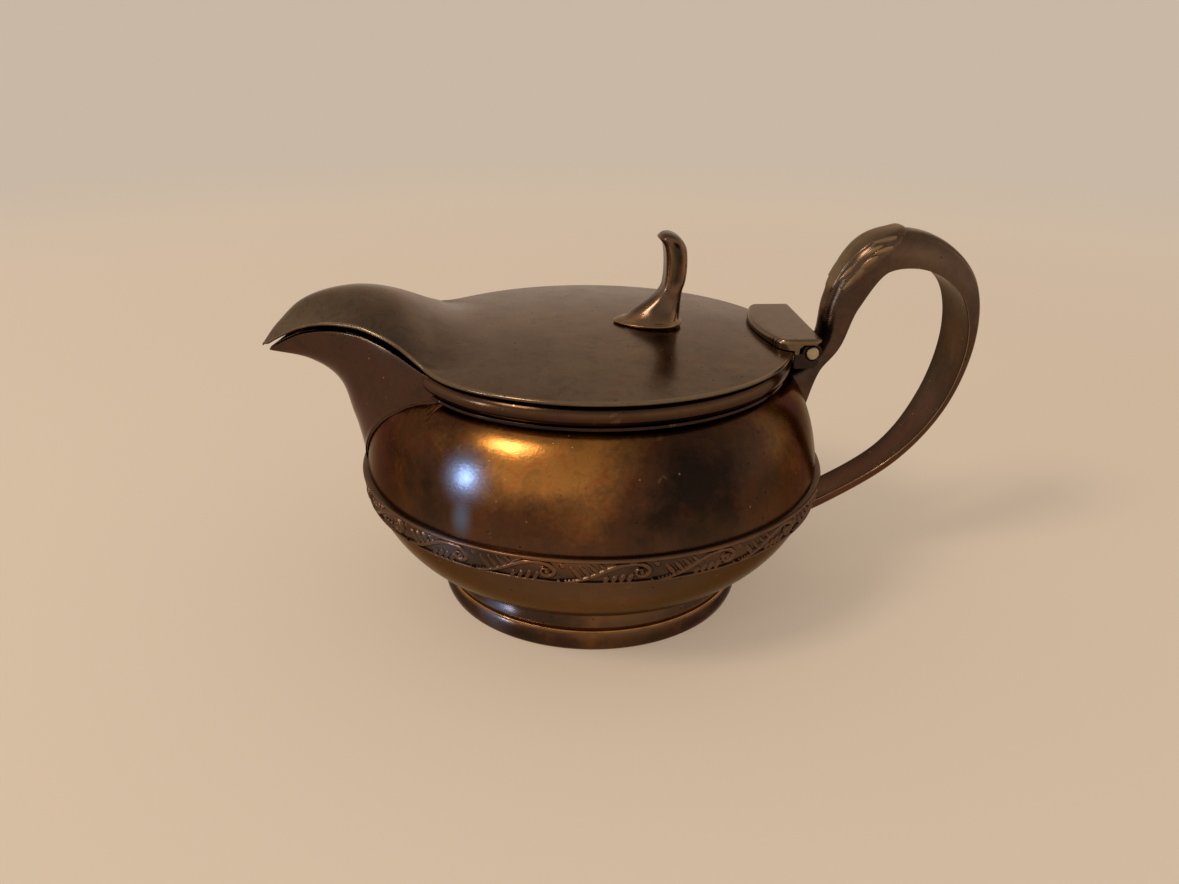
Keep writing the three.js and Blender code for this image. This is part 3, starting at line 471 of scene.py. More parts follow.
def scroll_relief(a, b):
    """Relief of one repeat, in millimetres over the ground, at places a along and b up the strip: a stem
    that rises from the lower line and rolls into a scroll, leaf lobes over its lower half and comma buds
    under its upper half. Each form is a rounded ridge on its distance from the place."""
    height = np.zeros_like(a)
    share = np.linspace(0, 1, 260)
    stem = line_through(SCROLL_STEM, share)
    thick = 0.16 + 0.3 * smooth(0, 0.3, share) - 0.2 * smooth(0.66, 1, share)
    for wrap in (-MOTIF_LENGTH, 0, MOTIF_LENGTH):
        x, y = stem[:, 0] + wrap, stem[:, 1]
        near = np.full(a.shape, 9.0)
        for k in range(0, len(share), 2):
            near = np.minimum(near, np.hypot(a - x[k], b - y[k]) / thick[k])
        height = np.maximum(height, STEM_RISE * np.sqrt(np.clip(1 - near**2, 0, 1)) ** 0.8)
        for boss_a, boss_b, squeeze, rise in SCROLL_BOSSES:
            off = np.hypot(a - boss_a - wrap, (b - boss_b) * squeeze) / BOSS_RADIUS
            height = np.maximum(height, rise * np.sqrt(np.clip(1 - off**2, 0, 1)))
        for k in range(4):
            start = (6.2 + 1.3 * k + wrap, 0.55)
            end = (6.95 + 1.35 * k + wrap, 1.75 + 0.22 * min(k, 2))
            bud = drop(a, b, start, end, 0.46, 0.75, vein=0.35)
            start = (2.5 + 1.35 * k + wrap, 1.25 + 0.62 * k)
            end = (0.75 + 1.5 * k + wrap, 3.55 + 0.24 * k)
            lobe = drop(a, b, start, end, 0.5 - 0.05 * k, 0.75, vein=0.35)
            height = np.maximum(height, LOBE_RISE * np.maximum(bud, lobe))
    return height


def half_round(b, middle, half, rise):
    """Relief of a line along the strip, whose section is a half oval."""
    return rise * np.sqrt(np.clip(1 - ((b - middle) / half) ** 2, 0, 1))


BAND_COLUMNS, BAND_ROWS, BAND_CLOSES = 118, 44, 0.2
# The line along the band's top and the one along its bottom: height of its middle, half width and rise
BAND_BEAD, BAND_FILLET = (4.72, 0.46, 0.62), (0.3, 0.28, 0.42)


def make_band():
    """Rows go round the bowl and columns round the strip's section. Its face is the bowl's own curve, plus
    the ground, the relief, a half-round bead along its top and a thin one along its bottom. At both edges
    it closes on the bowl by the root of the distance."""
    up = np.linspace(0, 1, BAND_ROWS)
    tall = BAND_TOP - BAND_BOTTOM
    a, b = np.meshgrid(np.arange(BAND_COLUMNS) / BAND_COLUMNS * MOTIF_LENGTH, up * tall, indexing="ij")
    field = smooth(0.35, 0.7, b) * smooth(4.35, 4.1, b)
    lines = np.maximum(half_round(b, *BAND_BEAD), half_round(b, *BAND_FILLET))
    relief = np.maximum(scroll_relief(a, b) * np.clip(field + 0.25, 0, 1), lines)
    lies = np.sqrt(np.clip((tall - b) / BAND_CLOSES, 0, 1) * np.clip(b / BAND_CLOSES, 0, 1))
    depth = np.tile((relief + SEAT * 0.6 + BAND_GROUND * 0.7) * lies - 0.04, (MOTIFS, 1))
    around = BAND_COLUMNS * MOTIFS
    turn = (np.arange(around) / around * 2 * np.pi)[:, None]
    height = BAND_BOTTOM + up * tall
    back = np.array([BAND_TOP - 0.1, 25.5, BAND_BOTTOM + 0.1])
    face = turned(bowl_radius(height) + depth, turn, height)
    grid = np.concatenate([face, turned(bowl_radius(back) - 0.1, turn, back)], axis=1)
    rub = np.pad(np.tile(np.clip(relief / 0.5, 0, 1), (MOTIFS, 1)), ((0, 0), (0, len(back))))
    return surface("scroll_band", grid, "ornament_band", along=True, rub=rub, sharp=70)


# ---- handle ----------------------------------------------------------------------------------------

# The strap's line as shares of its reach and of its rise or drop, and its thickness and half width there
HANDLE_SHARES = np.array(
    [
        [0.067, -0.262, 1.19, 0.86], [0.181, -0.129, 0.5, 0.8], [0.272, -0.004, 0.55, 0.8],
        [0.326, 0.448, 0.78, 0.86], [0.473, 0.921, 0.91, 0.97], [0.732, 0.95, 0.86, 1.02],
        [0.944, 0.601, 0.63, 1.14], [0.994, -0.013, 0.38, 1.21], [0.891, -0.358, 0.31, 1.07],
        [0.664, -0.658, 0.32, 0.8], [0.305, -0.882, 0.37, 0.76], [0.009, -0.999, 0.45, 0.78],
    ]
)
reach_share, rise_share = HANDLE_SHARES[:, 0], HANDLE_SHARES[:, 1]
foot_gain = bowl_radius(np.array(HANDLE_FOOT)) - NECK_RADIUS
HANDLE_LINE = coords(
    NECK_RADIUS + foot_gain * np.maximum(0, -rise_share) + HANDLE_REACH * reach_share,
    MOUTH + np.where(rise_share > 0, HANDLE_RISE, MOUTH - HANDLE_FOOT) * rise_share,
)
HANDLE_SIZES = HANDLE_SHARES[:, 2:] * [HANDLE_THICK, HANDLE_HALF]

# The leaf cast over the strap, as places along it and degrees round it from its crest: the outline of its
# smooth middle, the outline of the whole leaf, and each finger's start, end and half width in millimetres.
LEAF_MIDDLE = np.array([[0.262, 8], [0.293, 16], [0.31, 17], [0.352, 31], [0.373, 27], [0.395, 20], [0.413, 2]])
LEAF_WHOLE = np.array([[0.262, 30], [0.272, 55], [0.291, 58], [0.345, 74], [0.378, 67], [0.398, 46], [0.416, 4]])
LEAF_FINGERS = np.array(
    [
        [0.292, 22, 0.329, 41, 0.62], [0.285, 46, 0.329, 62, 0.62], [0.313, 54, 0.358, 62, 0.55],
        [0.34, 44, 0.372, 47, 0.5], [0.352, 55, 0.386, 57, 0.5], [0.362, 32, 0.394, 36, 0.55],
    ]
)
ALONG_MM, ROUND_MM = 130.0, 0.078
LEAF_HIGH, WEB_HIGH, FINGER_HIGH, TIP_HIGH, GROOVE_DEEP = 0.42, 0.2, 0.56, 0.3, 0.16
STRAP_CORNER, STRAP_HOLLOW = 0.22, 0.18


def handle_relief(place, turn):
    """Relief over the strap, in millimetres. The leaf's middle stands up evenly and lifts into a lip at its
    tip; its fingers are drop-shaped ridges on both flanks over a low web. Beyond the leaf, a soft groove
    runs on along each side of the crest and fades."""
    degrees = np.abs(np.degrees(turn))
    middle = np.interp(place, LEAF_MIDDLE[:, 0], LEAF_MIDDLE[:, 1], left=0, right=0)
    whole = np.interp(place, LEAF_WHOLE[:, 0], LEAF_WHOLE[:, 1], left=0, right=0)
    end = smooth(0.424, 0.409, place)
    lip = TIP_HIGH * np.exp(-(((place - 0.406) / 0.008) ** 2)) * smooth(30, 5, degrees)
    height = LEAF_HIGH * smooth(middle + 5, middle - 3, degrees) * smooth(0.262, 0.285, place) * end
    web = WEB_HIGH * smooth(whole + 2, whole - 3, degrees) * end * smooth(0.262, 0.292, place) * (whole > 0)
    height = np.maximum(height, web)
    for start, low, stop, high, half in LEAF_FINGERS:
        a, b = (place - start) * ALONG_MM, (degrees - low) * ROUND_MM
        tip = ((stop - start) * ALONG_MM, (high - low) * ROUND_MM)
        height = np.maximum(height, FINGER_HIGH * drop(a, b, (0, 0), tip, half, 1.5))
    fade = smooth(0.412, 0.425, place) * smooth(0.62, 0.47, place)
    groove = GROOVE_DEEP * fade * np.exp(-(((degrees - 31) / 5.5) ** 2))
    return height + lip * end - groove


def make_handle():
    """A strap lofted along its line. Its inside is slightly hollow across, with narrow rounded corners; its
    outside rises from the corners by the power 0.8 of the cosine while y follows the power 0.6 of the sine.
    The leaf stands out from it, with the loops closest along it, and both ends stop inside the bowl's
    wall."""
    before, leaf, beyond = np.linspace(0, 0.26, 70), np.linspace(0.26, 0.43, 260), np.linspace(0.43, 1, 190)
    place = np.concatenate([before[:-1], leaf, beyond[1:]])
    ahead, behind = (line_through(HANDLE_LINE, np.clip(place + step, 0, 1)) for step in (1e-4, -1e-4))
    tangent = (ahead - behind) / np.linalg.norm(ahead - behind, axis=-1, keepdims=True)
    centre, sizes = line_through(HANDLE_LINE, place), line_through(HANDLE_SIZES, place)
    place = place[:, None]
    thick, half = sizes[:, :1], sizes[:, 1:]
    widest = np.arccos((STRAP_CORNER / thick) ** 1.25)
    turn = np.linspace(-1, 1, 141) * widest
    lift = handle_relief(place, turn)
    over_out = thick * (np.cos(turn) ** 0.8 - 0.5) + lift
    over_y = (half + 0.5 * lift) * signed_power(np.sin(turn), 0.6)
    arc = np.linspace(0, 0.5, 5)[1:-1] * np.pi
    corner_out = STRAP_CORNER * (1 - np.sin(arc)) - thick / 2
    corner_y = half - STRAP_CORNER * (1 - np.cos(arc))
    v = np.linspace(1, -1, 33)
    under_out = STRAP_HOLLOW * (1 - v**2) - thick / 2
    under_y = v * (half - STRAP_CORNER)
    out = np.concatenate([over_out, corner_out, under_out, corner_out[:, ::-1]], axis=1)
    y = np.concatenate([over_y, corner_y, under_y, -corner_y[:, ::-1]], axis=1)
    x = centre[:, :1] - tangent[:, 1:] * out
    z = centre[:, 1:] + tangent[:, :1] * out
    radius = np.hypot(x, y)
    least = np.where(z > SHOULDER, LID_RADIUS + 0.15, bowl_radius(z) - 0.5)
    outside = np.maximum(1, least / radius)
    grid = coords(x * outside, y * outside, z)
    # The leaf's relief is rubbed bright by wear; a painted highlight line runs along the corners, stronger down the
    # lower part of the strap, and painted shade lies over the inside, most towards its corners
    crest = np.clip(lift / 0.6, 0, 1) ** 2
    corner = np.broadcast_to(0.1 + 0.85 * smooth(0.5, 0.7, place), (len(place), 3))
    inside = np.broadcast_to(-0.15 - 0.6 * v**2, (len(place), len(v)))
    rub = np.concatenate([crest, corner, inside, corner], axis=1)
    return surface("strap_handle", grid, "handle", rub=rub, sharp=70)


# ---- lid, hood and finial --------------------------------------------------------------------------

# The hood, from its root to its nose: its reach, the line of its crown, and the height of its lower edge
EDGE_SHARE = np.linspace(0, 1, 400)
EDGE_TABLE = line_through(SPOUT_EDGE, EDGE_SHARE)
HOOD_REACH = EDGE_TABLE[:, 0] - HOOD_NOSE * EDGE_SHARE**3
CROWN_SHARES = np.array([[0.87], [1.06], [0.93], [0.73], [0]])
HOOD_TOP = line_through(CROWN_SHARES * HOOD_RISE, EDGE_SHARE)[:, 0]
HOOD_TOP = EDGE_TABLE[:, 2] + SEAT + LID_THICK + HOOD_TOP - 0.4 * EDGE_SHARE**6
HOOD_TOP = HOOD_TOP + 0.4 * np.exp(-(((EDGE_SHARE - 0.93) / 0.06) ** 2))
HOOD_EDGE = np.array([[2.35], [4.3], [5.66], [6.55], [6.5], [5.8], [4.35], [2.05], [-0.6]])
HOOD_BASE = line_through(HOOD_EDGE, (HOOD_START - HOOD_REACH) / (SPOUT_LENGTH + HOOD_NOSE))[:, 0]
HOOD_BASE = SPOUT_EDGE_Z + HOOD_BASE
HOOD_CROWNS = np.maximum(HOOD_TOP - HOOD_BASE, 0.2)
HOOD_HALF = EDGE_TABLE[:, 1] + HOOD_SIDE
CORNER_RISE = HOOD_EDGE[0, 0] + SPOUT_EDGE_Z - LID_TOP
LID_SHEET, NOSE_THINNER = 0.8, 0.3


def lid_half(x):
    """Half width of the lid's outline at x: a circle over the bowl and the hood's own line beyond it."""
    hood = np.interp(-x, -HOOD_REACH, HOOD_HALF)
    tip = HOOD_REACH[-1]
    nose = np.sqrt(np.clip(1 - (1 - np.clip((x - tip) / 1.6, 0, 1)) ** 2, 0, 1))
    return np.where(x < HOOD_START, hood * nose, np.sqrt(np.clip(LID_RADIUS**2 - x**2, 0, None)))


def lid_height(x, y):
    """Height of the lid's top: over the bowl a shallow dome plus the start of the hood, which fades out
    smoothly; over the spout a parabola across, on the line of the spout's edge."""
    dome = LID_TOP + LID_DOME * (1 - (x**2 + y**2) / LID_RADIUS**2)
    fade = np.clip((x - HOOD_START) / HOOD_FADE, 0, 1)
    out = (y / (SPOUT_HALF + HOOD_SIDE)) ** 2
    across = np.clip(1 - out, 0, None)
    crown = LID_TOP + CROWN_SHARES[0, 0] * HOOD_RISE - (LID_TOP + LID_DOME * (1 - HOOD_START**2 / LID_RADIUS**2))
    plate = dome + crown * (1 - fade) ** 2 * across ** (1 + fade)
    plate = plate + CORNER_RISE * np.clip(out, 0, 1.1) * (1 - fade) ** 5
    base = np.interp(-x, -HOOD_REACH, HOOD_BASE)
    rise = np.interp(-x, -HOOD_REACH, HOOD_CROWNS)
    half = np.interp(-x, -HOOD_REACH, HOOD_HALF)
    hood = base + rise * (1 - np.clip((y / half) ** 2, 0, 1.2))
    return np.where(x < HOOD_START, hood, plate)


def make_lid():
    """Stations run along the outline from the hinge to the nose. Across, a station bends with the outline,
    and its loop goes over the top, round the rolled edge, back underneath and round the other edge."""
    share = np.linspace(0, 1, 150)
    plate_x = LID_REAR + (HOOD_START - LID_REAR) * (0.5 - 0.5 * np.cos(share * np.pi))
    hood_x = HOOD_START + (HOOD_REACH[-1] + 0.02 - HOOD_START) * np.sin(np.linspace(0, 1, 110)[1:] * np.pi / 2)
    x_out = np.concatenate([plate_x, hood_x])
    half = lid_half(x_out)
    slope = np.gradient(half, x_out)
    normal = coords(-slope, 1.0)
    normal = normal / np.linalg.norm(normal, axis=-1, keepdims=True)
    sheet = LID_SHEET - NOSE_THINNER * smooth(0.4, 0.85, (HOOD_START - x_out) / SPOUT_LENGTH)[:, None]
    radius = np.minimum(sheet / 2, 0.45 * half[:, None])
    inset_x = x_out[:, None] - normal[:, :1] * radius
    inset_y = half[:, None] - normal[:, 1:] * radius
    v = np.sin(np.linspace(-1, 1, 141) * np.pi / 2)
    bend = np.abs(v) ** 2.2
    straight = x_out[:, None] * 0.985
    top_x = straight + (inset_x - straight) * bend
    top_y = inset_y * v
    top = coords(top_x, top_y, lid_height(top_x, top_y))
    edge_turn = np.linspace(0.5, -0.5, 11)[1:-1] * np.pi
    out_x = inset_x + normal[:, :1] * radius * np.cos(edge_turn)
    out_y = inset_y + normal[:, 1:] * radius * np.cos(edge_turn)
    out_z = lid_height(inset_x, inset_y) - sheet / 2 + sheet / 2 * np.sin(edge_turn)
    near, far = (coords(out_x, side * out_y, out_z) for side in (1, -1))
    under = top[:, ::-1] - sheet[..., None] * [0, 0, 1]
    grid = np.roll(np.concatenate([top, near, under, far[:, ::-1]], axis=1), 5, axis=1)
    # A thin painted highlight along the rim of the top; round the rolled edge a painted highlight at its top passes
    # into painted shade on the edge face, and the underside is painted shade
    top_edge_highlight = 0.5 * np.abs(v) ** 400
    edge_highlight_and_shade = np.clip(np.linspace(1.0, -1.4, 9), -1, 1)
    rub = np.roll(np.concatenate([top_edge_highlight, edge_highlight_and_shade, top_edge_highlight * 0 - 1, edge_highlight_and_shade[::-1]]), 5)
    return surface("lid_and_hood", grid, "lid_plate", rub=rub)


def make_finial():
    """Level loops from the thin egg-shaped base plate, over the flare of the foot, up the stem to its curled
    end. The base's loops are narrower to the front; the stem's are nearly square, with a hollow ribbon of a
    front and a long dished oval on each side. A loop runs from its front to its rear place by the cosine
    of the angle and to its half width by the sine, both to one power."""
    crown = LID_TOP + LID_DOME
    rear = FINIAL_FRONT + FINIAL_LENGTH

    def placed(along, up):
        """A front or rear place from its shares of the finial's length and height."""
        return [FINIAL_FRONT + FINIAL_LENGTH * along, crown + FINIAL_HEIGHT * up]

    low = crown + 0.12
    # Of each loop: front place and height, rear place and height, half width, and how pointed it is
    places = [
        [FINIAL_FRONT, low, rear, low, FINIAL_HALF, 1.0],
        [FINIAL_FRONT - 0.1, low + 0.3, rear + 0.05, low + 0.3, FINIAL_HALF + 0.05, 1.0],
        [FINIAL_FRONT + 0.6, low + 0.66, rear - 0.15, low + 0.6, FINIAL_HALF - 0.5, 1.0],
        [FINIAL_FRONT + 2.2, low + 1.1, rear - 0.45, low + 1.05, FINIAL_HALF - 1.3, 0.95],
        [*placed(0.3, 0.15), *placed(0.97, 0.14), 4.1, 0.7],
        [*placed(0.53, 0.27), *placed(0.975, 0.26), 3.1, 0.35],
        [*placed(0.66, 0.38), *placed(0.99, 0.37), 2.8, 0.15],
        [*placed(0.7, 0.5), *placed(1.03, 0.48), 2.75, 0.0],
        [*placed(0.705, 0.66), *placed(1.045, 0.65), 2.9, 0.0],
        [*placed(0.69, 0.8), *placed(1.02, 0.83), 3.1, 0.0],
        [*placed(0.66, 0.885), *placed(0.93, 0.935), 3.05, 0.0],
        [*placed(0.63, 0.92), *placed(0.82, 0.985), 2.8, 0.0],
        [*placed(0.61, 0.935), *placed(0.72, 0.995), 2.0, 0.0],
        [*placed(0.61, 0.945), *placed(0.66, 0.985), 1.0, 0.0],
    ]
    rows = line_through(places, np.linspace(0, 1, 170))
    turn = full_circle(128)
    front_x, front_z, rear_x, rear_z, half, pointed = (rows[:, k, None] for k in range(6))
    square = 0.62 + 0.38 * pointed
    along = 0.5 + 0.5 * signed_power(np.cos(turn), square)
    taper = 1 - 0.22 * pointed * (1 - np.cos(turn))
    up = (front_z + (rear_z - front_z) * 0.5 - crown) / FINIAL_HEIGHT
    sides = smooth(0.36, 0.48, up) * smooth(0.94, 0.84, up)
    ribbon = smooth(0.24, 0.4, up) * smooth(0.95, 0.86, up) * 0.28 * np.exp(-((np.sin(turn) / 0.5) ** 2))
    hollow = sides * np.exp(-(((along - 0.52) / 0.2) ** 2)) * np.abs(np.sin(turn))
    outline = sides * np.exp(-(((np.abs(along - 0.52) - 0.3) / 0.07) ** 2))
    x = front_x + (rear_x - front_x) * along + ribbon * (np.cos(turn) < 0)
    z = front_z + (rear_z - front_z) * along
    y = (half * taper - 0.42 * hollow) * signed_power(np.sin(turn), square)
    # Golden towards the foot: a painted highlight; the stem's four corners rubbed by wear; a painted highlight along
    # the front and rear of each side hollow, and painted shade in the hollow
    rub = 0.6 * (1 - smooth(crown + 0.4, crown + 2.6, z)) + 0.3 * smooth(0.82, 0.98, np.abs(np.sin(2 * turn)))
    rub = rub + 0.4 * outline - 0.9 * hollow**2
    return surface("finial_scroll", coords(x, y, z), "finial", rub=rub, sharp=50)


# ---- hinge -----------------------------------------------------------------------------------------


def round_pin(radius, turn, y):
    """Places at a radius and an angle round the pin's axis, and at a place along it."""
    return coords(PIN_REACH + radius * np.cos(turn), y, PIN_HEIGHT + radius * np.sin(turn))


def make_pin():
    """A round bar whose two ends are hammered to low domes."""
    half = HINGE_WIDTH / 2
    share = np.linspace(0.03, 1, 12)
    dome = coords(PIN_RADIUS * share, half + 0.3 * np.sqrt(np.clip(1 - share**2.2, 0, 1)))
    profile = np.vstack([dome, [[PIN_RADIUS, half - 1]], [[PIN_RADIUS, 1 - half]], dome[::-1] * [1, -1]])
    return surface("pin", round_pin(profile[:, :1], full_circle(64), profile[:, 1:]), "hinge_pin")


def make_knuckle():
    """A tube round the pin with small chamfers on its ends."""
    half = HINGE_WIDTH / 2 - EAR - SEAT
    outer, bore, soft = KNUCKLE_RADIUS, PIN_RADIUS + SEAT, 0.18
    profile = np.array(
        [
            [bore, -half + 0.1], [bore + 0.08, -half], [outer - soft, -half], [outer, soft - half],
            [outer, half - soft], [outer - soft, half], [bore + 0.08, half], [bore, half - 0.1],
        ]
    )
    return surface("knuckle", round_pin(profile[:, :1], full_circle(72), profile[:, 1:]), "lid_knuckle", along=True)


EAR_BORE, BLOCK_REAR, BLOCK_DEEP, BLOCK_CHAMFER = PIN_RADIUS + 0.12, 1.3, 3.0, 0.8
# The section of the floor between the ears, back and up from the pin's axis
FLOOR_SECTION = np.array([[-1.7, -2.98], [0.45, -2.98], [1.25, -2.2], [1.25, -1.6], [0.6, -2.3], [-1.7, -2.3]])


def ear_outline(turn, y):
    """Distance from the pin to the bracket's outline in each direction: round above, and below a block
    with a chamfered corner that runs forward to the rim, taken as the nearest of its faces."""
    cos, sin = np.cos(turn), np.sin(turn)
    to_rim = PIN_REACH - np.sqrt((LID_RADIUS + 0.1) ** 2 - y**2)
    cut = BLOCK_REAR + BLOCK_DEEP - BLOCK_CHAMFER
    faces = [(BLOCK_REAR, cos), (BLOCK_DEEP, -sin), (cut, cos - sin), (to_rim, -cos)]
    block = np.min([np.where(lean > 1e-3, reach / np.maximum(lean, 1e-3), 9.0) for reach, lean in faces], axis=0)
    return np.where(sin > 0, KNUCKLE_RADIUS, np.maximum(block, BLOCK_REAR))


def make_bracket():
    """Two ears, each a thick washer between the pin's bore and the bracket's outline, with softened edges,
    and the floor that joins them."""
    turn = full_circle(144)
    half = HINGE_WIDTH / 2
    # Rings round an ear: how far under the outline, or None on the bore, and how far in from its face
    steps = ((None, 0.1), (None, 0), (0.25, 0), (0.07, 0.07), (0, 0.25))
    parts = []
    for low, high in ((-half, EAR - half), (half - EAR, half)):
        rings = [(low + into, sunk, into) for sunk, into in steps]
        rings += [(high - into, sunk, into) for sunk, into in reversed(steps)]
        ear = [
            round_pin(EAR_BORE + (0.1 - into) if sunk is None else ear_outline(turn, y) - sunk, turn, y)
            for y, sunk, into in rings
        ]
        parts.append(surface("ear", np.array(ear), "hinge_bracket", along=True, sharp=40))
    y = np.linspace(-half + EAR - 0.3, half - EAR + 0.3, 5)[:, None]
    strip = coords(PIN_REACH + FLOOR_SECTION[:, 0], y, PIN_HEIGHT + FLOOR_SECTION[:, 1])
    return joined("bracket", [*parts, surface("floor_strip", strip, "hinge_bracket")])


def rounding(reach, radius):
    """How far a corner of the given radius draws in, at a distance short of the end that it rounds."""
    return radius * (1 - np.sqrt(np.clip(1 - np.clip((radius - reach) / radius, 0, 1) ** 2, 0, 1)))


# The leaf's underside over an ear: places behind the bowl's axis, and heights
OVER_EAR = [36.4, 37.0, 37.9, 39.4, 41.0], [0, 52.75, 53.55, 53.98, 53.85]
# Radii of the leaf's upper edges, behind and ahead
LEAF_BEHIND, LEAF_AHEAD = 0.45, 0.8


def make_hinge_leaf():
    """Stations across the hinge; each is a loop round the leaf's section: back along the underside, which
    clears the knuckles and follows the lid's dome, up the rear, over the top and down the bowed front. Near
    each end the loop draws in, so that the corners and the upper edge are rounded."""
    half = LEAF_WIDTH / 2
    t = np.sin(np.linspace(-1, 1, 161) * np.pi / 2)
    y = (half * t)[:, None]
    short = half - np.abs(y)
    first = LEAF_REAR - LEAF_LENGTH
    soften = rounding(short, 0.7)
    front = first + 1.9 * np.clip(np.abs(y) / (0.82 * half), 0, 1) ** 2 + rounding(short, 2.6)
    rear = LEAF_REAR - rounding(short, 1.3) - 0.3 * soften
    top = LID_TOP + LID_DOME * (1 - first**2 / LID_RADIUS**2) + LEAF_RISE
    peak = top - soften
    x = front + (rear - front) * np.linspace(0, 1, 48)
    dome = LID_TOP + LID_DOME * (1 - (x**2 + y**2) / LID_RADIUS**2) + SEAT * 0.5
    dome = np.where(np.hypot(x, y) < LID_RADIUS + SEAT, dome, PIN_HEIGHT + SEAT)
    hollow = PIN_HEIGHT + np.sqrt(np.clip(LEAF_HOLLOW**2 - (x - PIN_REACH) ** 2, 0, None))
    floor = np.maximum(np.maximum(dome, hollow), np.interp(x, *OVER_EAR))
    floor = np.minimum(np.maximum(floor, PIN_HEIGHT + SEAT), peak - 0.3)
    arc = np.linspace(0, 0.5, 8) * np.pi
    rear_x, front_x = rear - LEAF_BEHIND * (1 - np.cos(arc)), front + LEAF_AHEAD * (1 - np.cos(arc[::-1]))
    over = np.linspace(0, 1, 8)[1:-1]
    top_x = rear - LEAF_BEHIND + (front + LEAF_AHEAD - rear + LEAF_BEHIND) * over
    rear_z = peak - LEAF_BEHIND * (1 - np.sin(arc))
    front_z = peak - np.minimum(LEAF_AHEAD, peak - floor[:, :1]) * (1 - np.sin(arc[::-1]))
    section_x = np.concatenate([x, rear_x, top_x, front_x], axis=1)
    section_z = np.concatenate([floor, rear_z, peak + 0 * top_x, front_z], axis=1)
    corner = smooth(1.6, 0.2, short) * smooth(5, 2, section_x - first)
    rub = smooth(top - 0.9, top - 0.25, section_z) * (0.2 + 0.8 * corner)
    return surface("cover_leaf", coords(section_x, y, section_z), "hinge_leaf", rub=rub, sharp=50)


# ---- shader words ----------------------------------------------------------------------------------


class Value:
    """A shader value. Adding, taking away and multiplying make the Math nodes that they name."""

    def __init__(self, recipe, socket):
        self.recipe, self.socket = recipe, socket

    def __add__(self, other):
        return self.recipe.math("ADD", self, other)

    __radd__ = __add__

    def __mul__(self, other):
        return self.recipe.math("MULTIPLY", self, other)

    __rmul__ = __mul__

    def __sub__(self, other):
        return self.recipe.math("SUBTRACT", self, other)

    def __rsub__(self, other):
        return self.recipe.math("SUBTRACT", other, self)

    def clamped(self):
        """The value kept between 0 and 1."""
        return self.recipe.node("Clamp", {}, {"Value": self}, "Result")

    def between(self, low, high, start=0.0, end=1.0):
        """Smooth step from start at low to end at high."""
        span = {"Value": self, "From Min": low, "From Max": high, "To Min": start, "To Max": end}
        return self.recipe.node("MapRange", {"interpolation_type": "SMOOTHSTEP"}, span, "Result")


EVEN = (1, 1, 1)
# Places of the colours among a Mix node's inputs and outputs
COLOUR_A, COLOUR_B, COLOUR_OUT = 6, 7, 2


class Recipe:
    """The nodes of a material or of the world."""

    def __init__(self, owner):
        owner.use_nodes = True
        self.tree = owner.node_tree
        self.tree.nodes.clear()

    def node(self, kind, settings, inputs, output=0):
        """A node of any kind: its settings are set first and then its sockets, to values or links. It comes
        back as the value of one of its outputs, where it has any."""
        made = self.tree.nodes.new("ShaderNode" + kind)
        for key, value in settings.items():
            if key == "stops":
                self.fill_ramp(made.color_ramp, value)
            else:
                setattr(made, key, value)
        for key, value in inputs.items():
            if isinstance(value, Value):
                self.tree.links.new(value.socket, made.inputs[key])
            else:
                made.inputs[key].default_value = value
        return Value(self, made.outputs[output]) if made.outputs else None

    def math(self, operation, first, second):
        """Maths on two values or numbers."""
        return self.node("Math", {"operation": operation}, {0: first, 1: second})

    def fill_ramp(self, ramp, stops):
        """Sets a ramp's places and colours."""
        while len(ramp.elements) < len(stops):
            ramp.elements.new(0.5)
        for element, (place, colour) in zip(ramp.elements, stops):
            element.position = place
            element.color = (*colour, 1.0)

    def place(self, stretch=EVEN, turn=(0, 0, 0)):
        """The place on the piece in millimetres, turned and stretched."""
        where = self.node("TexCoord", {}, {}, "Object")
        scale = tuple(k / MM for k in stretch)
        return self.node("Mapping", {}, {"Vector": where, "Scale": scale, "Rotation": turn})

    def noise(self, size, detail=4.0, rough=0.5, stretch=EVEN, turn=(0, 0, 0), distortion=0.0):
        """Noise whose features are about the given number of millimetres across."""
        look = {"Scale": 1 / size, "Detail": detail, "Roughness": rough, "Distortion": distortion}
        return self.node("TexNoise", {}, {"Vector": self.place(stretch, turn), **look}, "Fac")

    def dots(self, size, low, high, random=1.0):
        """Dots scattered at a spacing in millimetres: 1 within low of a point, in shares of the spacing, and
        0 beyond high."""
        inputs = {"Vector": self.place(), "Scale": 1 / size, "Randomness": random}
        return self.node("TexVoronoi", {"feature": "F1"}, inputs, "Distance").between(low, high, 1.0, 0.0)

    def near(self, spot, reach, stretch=EVEN):
        """1 at a spot given in millimetres from the bowl's axis, falling smoothly to 0 at its reach."""
        centre = tuple(k * c for k, c in zip(stretch, (spot[0] + AXIS_X, spot[1], spot[2])))
        away = self.node("VectorMath", {"operation": "DISTANCE"}, {0: self.place(stretch), 1: centre}, "Value")
        return away.between(0.0, reach, 1.0, 0.0)

    def ray(self, kind):
        """1 for a camera, glossy or transmission ray."""
        return self.node("LightPath", {}, {}, f"Is {kind} Ray")

    def ramp(self, value, stops):
        """The colour at a value, on a line through the stops."""
        return self.node("ValToRGB", {"stops": stops}, {"Fac": value}, "Color")

    def blend(self, share, first, second, how="MIX"):
        """One colour laid over another by a share."""
        inputs = {"Factor": share, COLOUR_A: first, COLOUR_B: second}
        return self.node("Mix", {"data_type": "RGBA", "blend_type": how}, inputs, COLOUR_OUT)

    def wear_and_light_here(self):
        """The mark that the mesh carries at this place: rubbed wear and painted highlights above 0, painted shade
        below 0.
        """
        return self.node("Attribute", {"attribute_name": "rub"}, {}, "Fac")


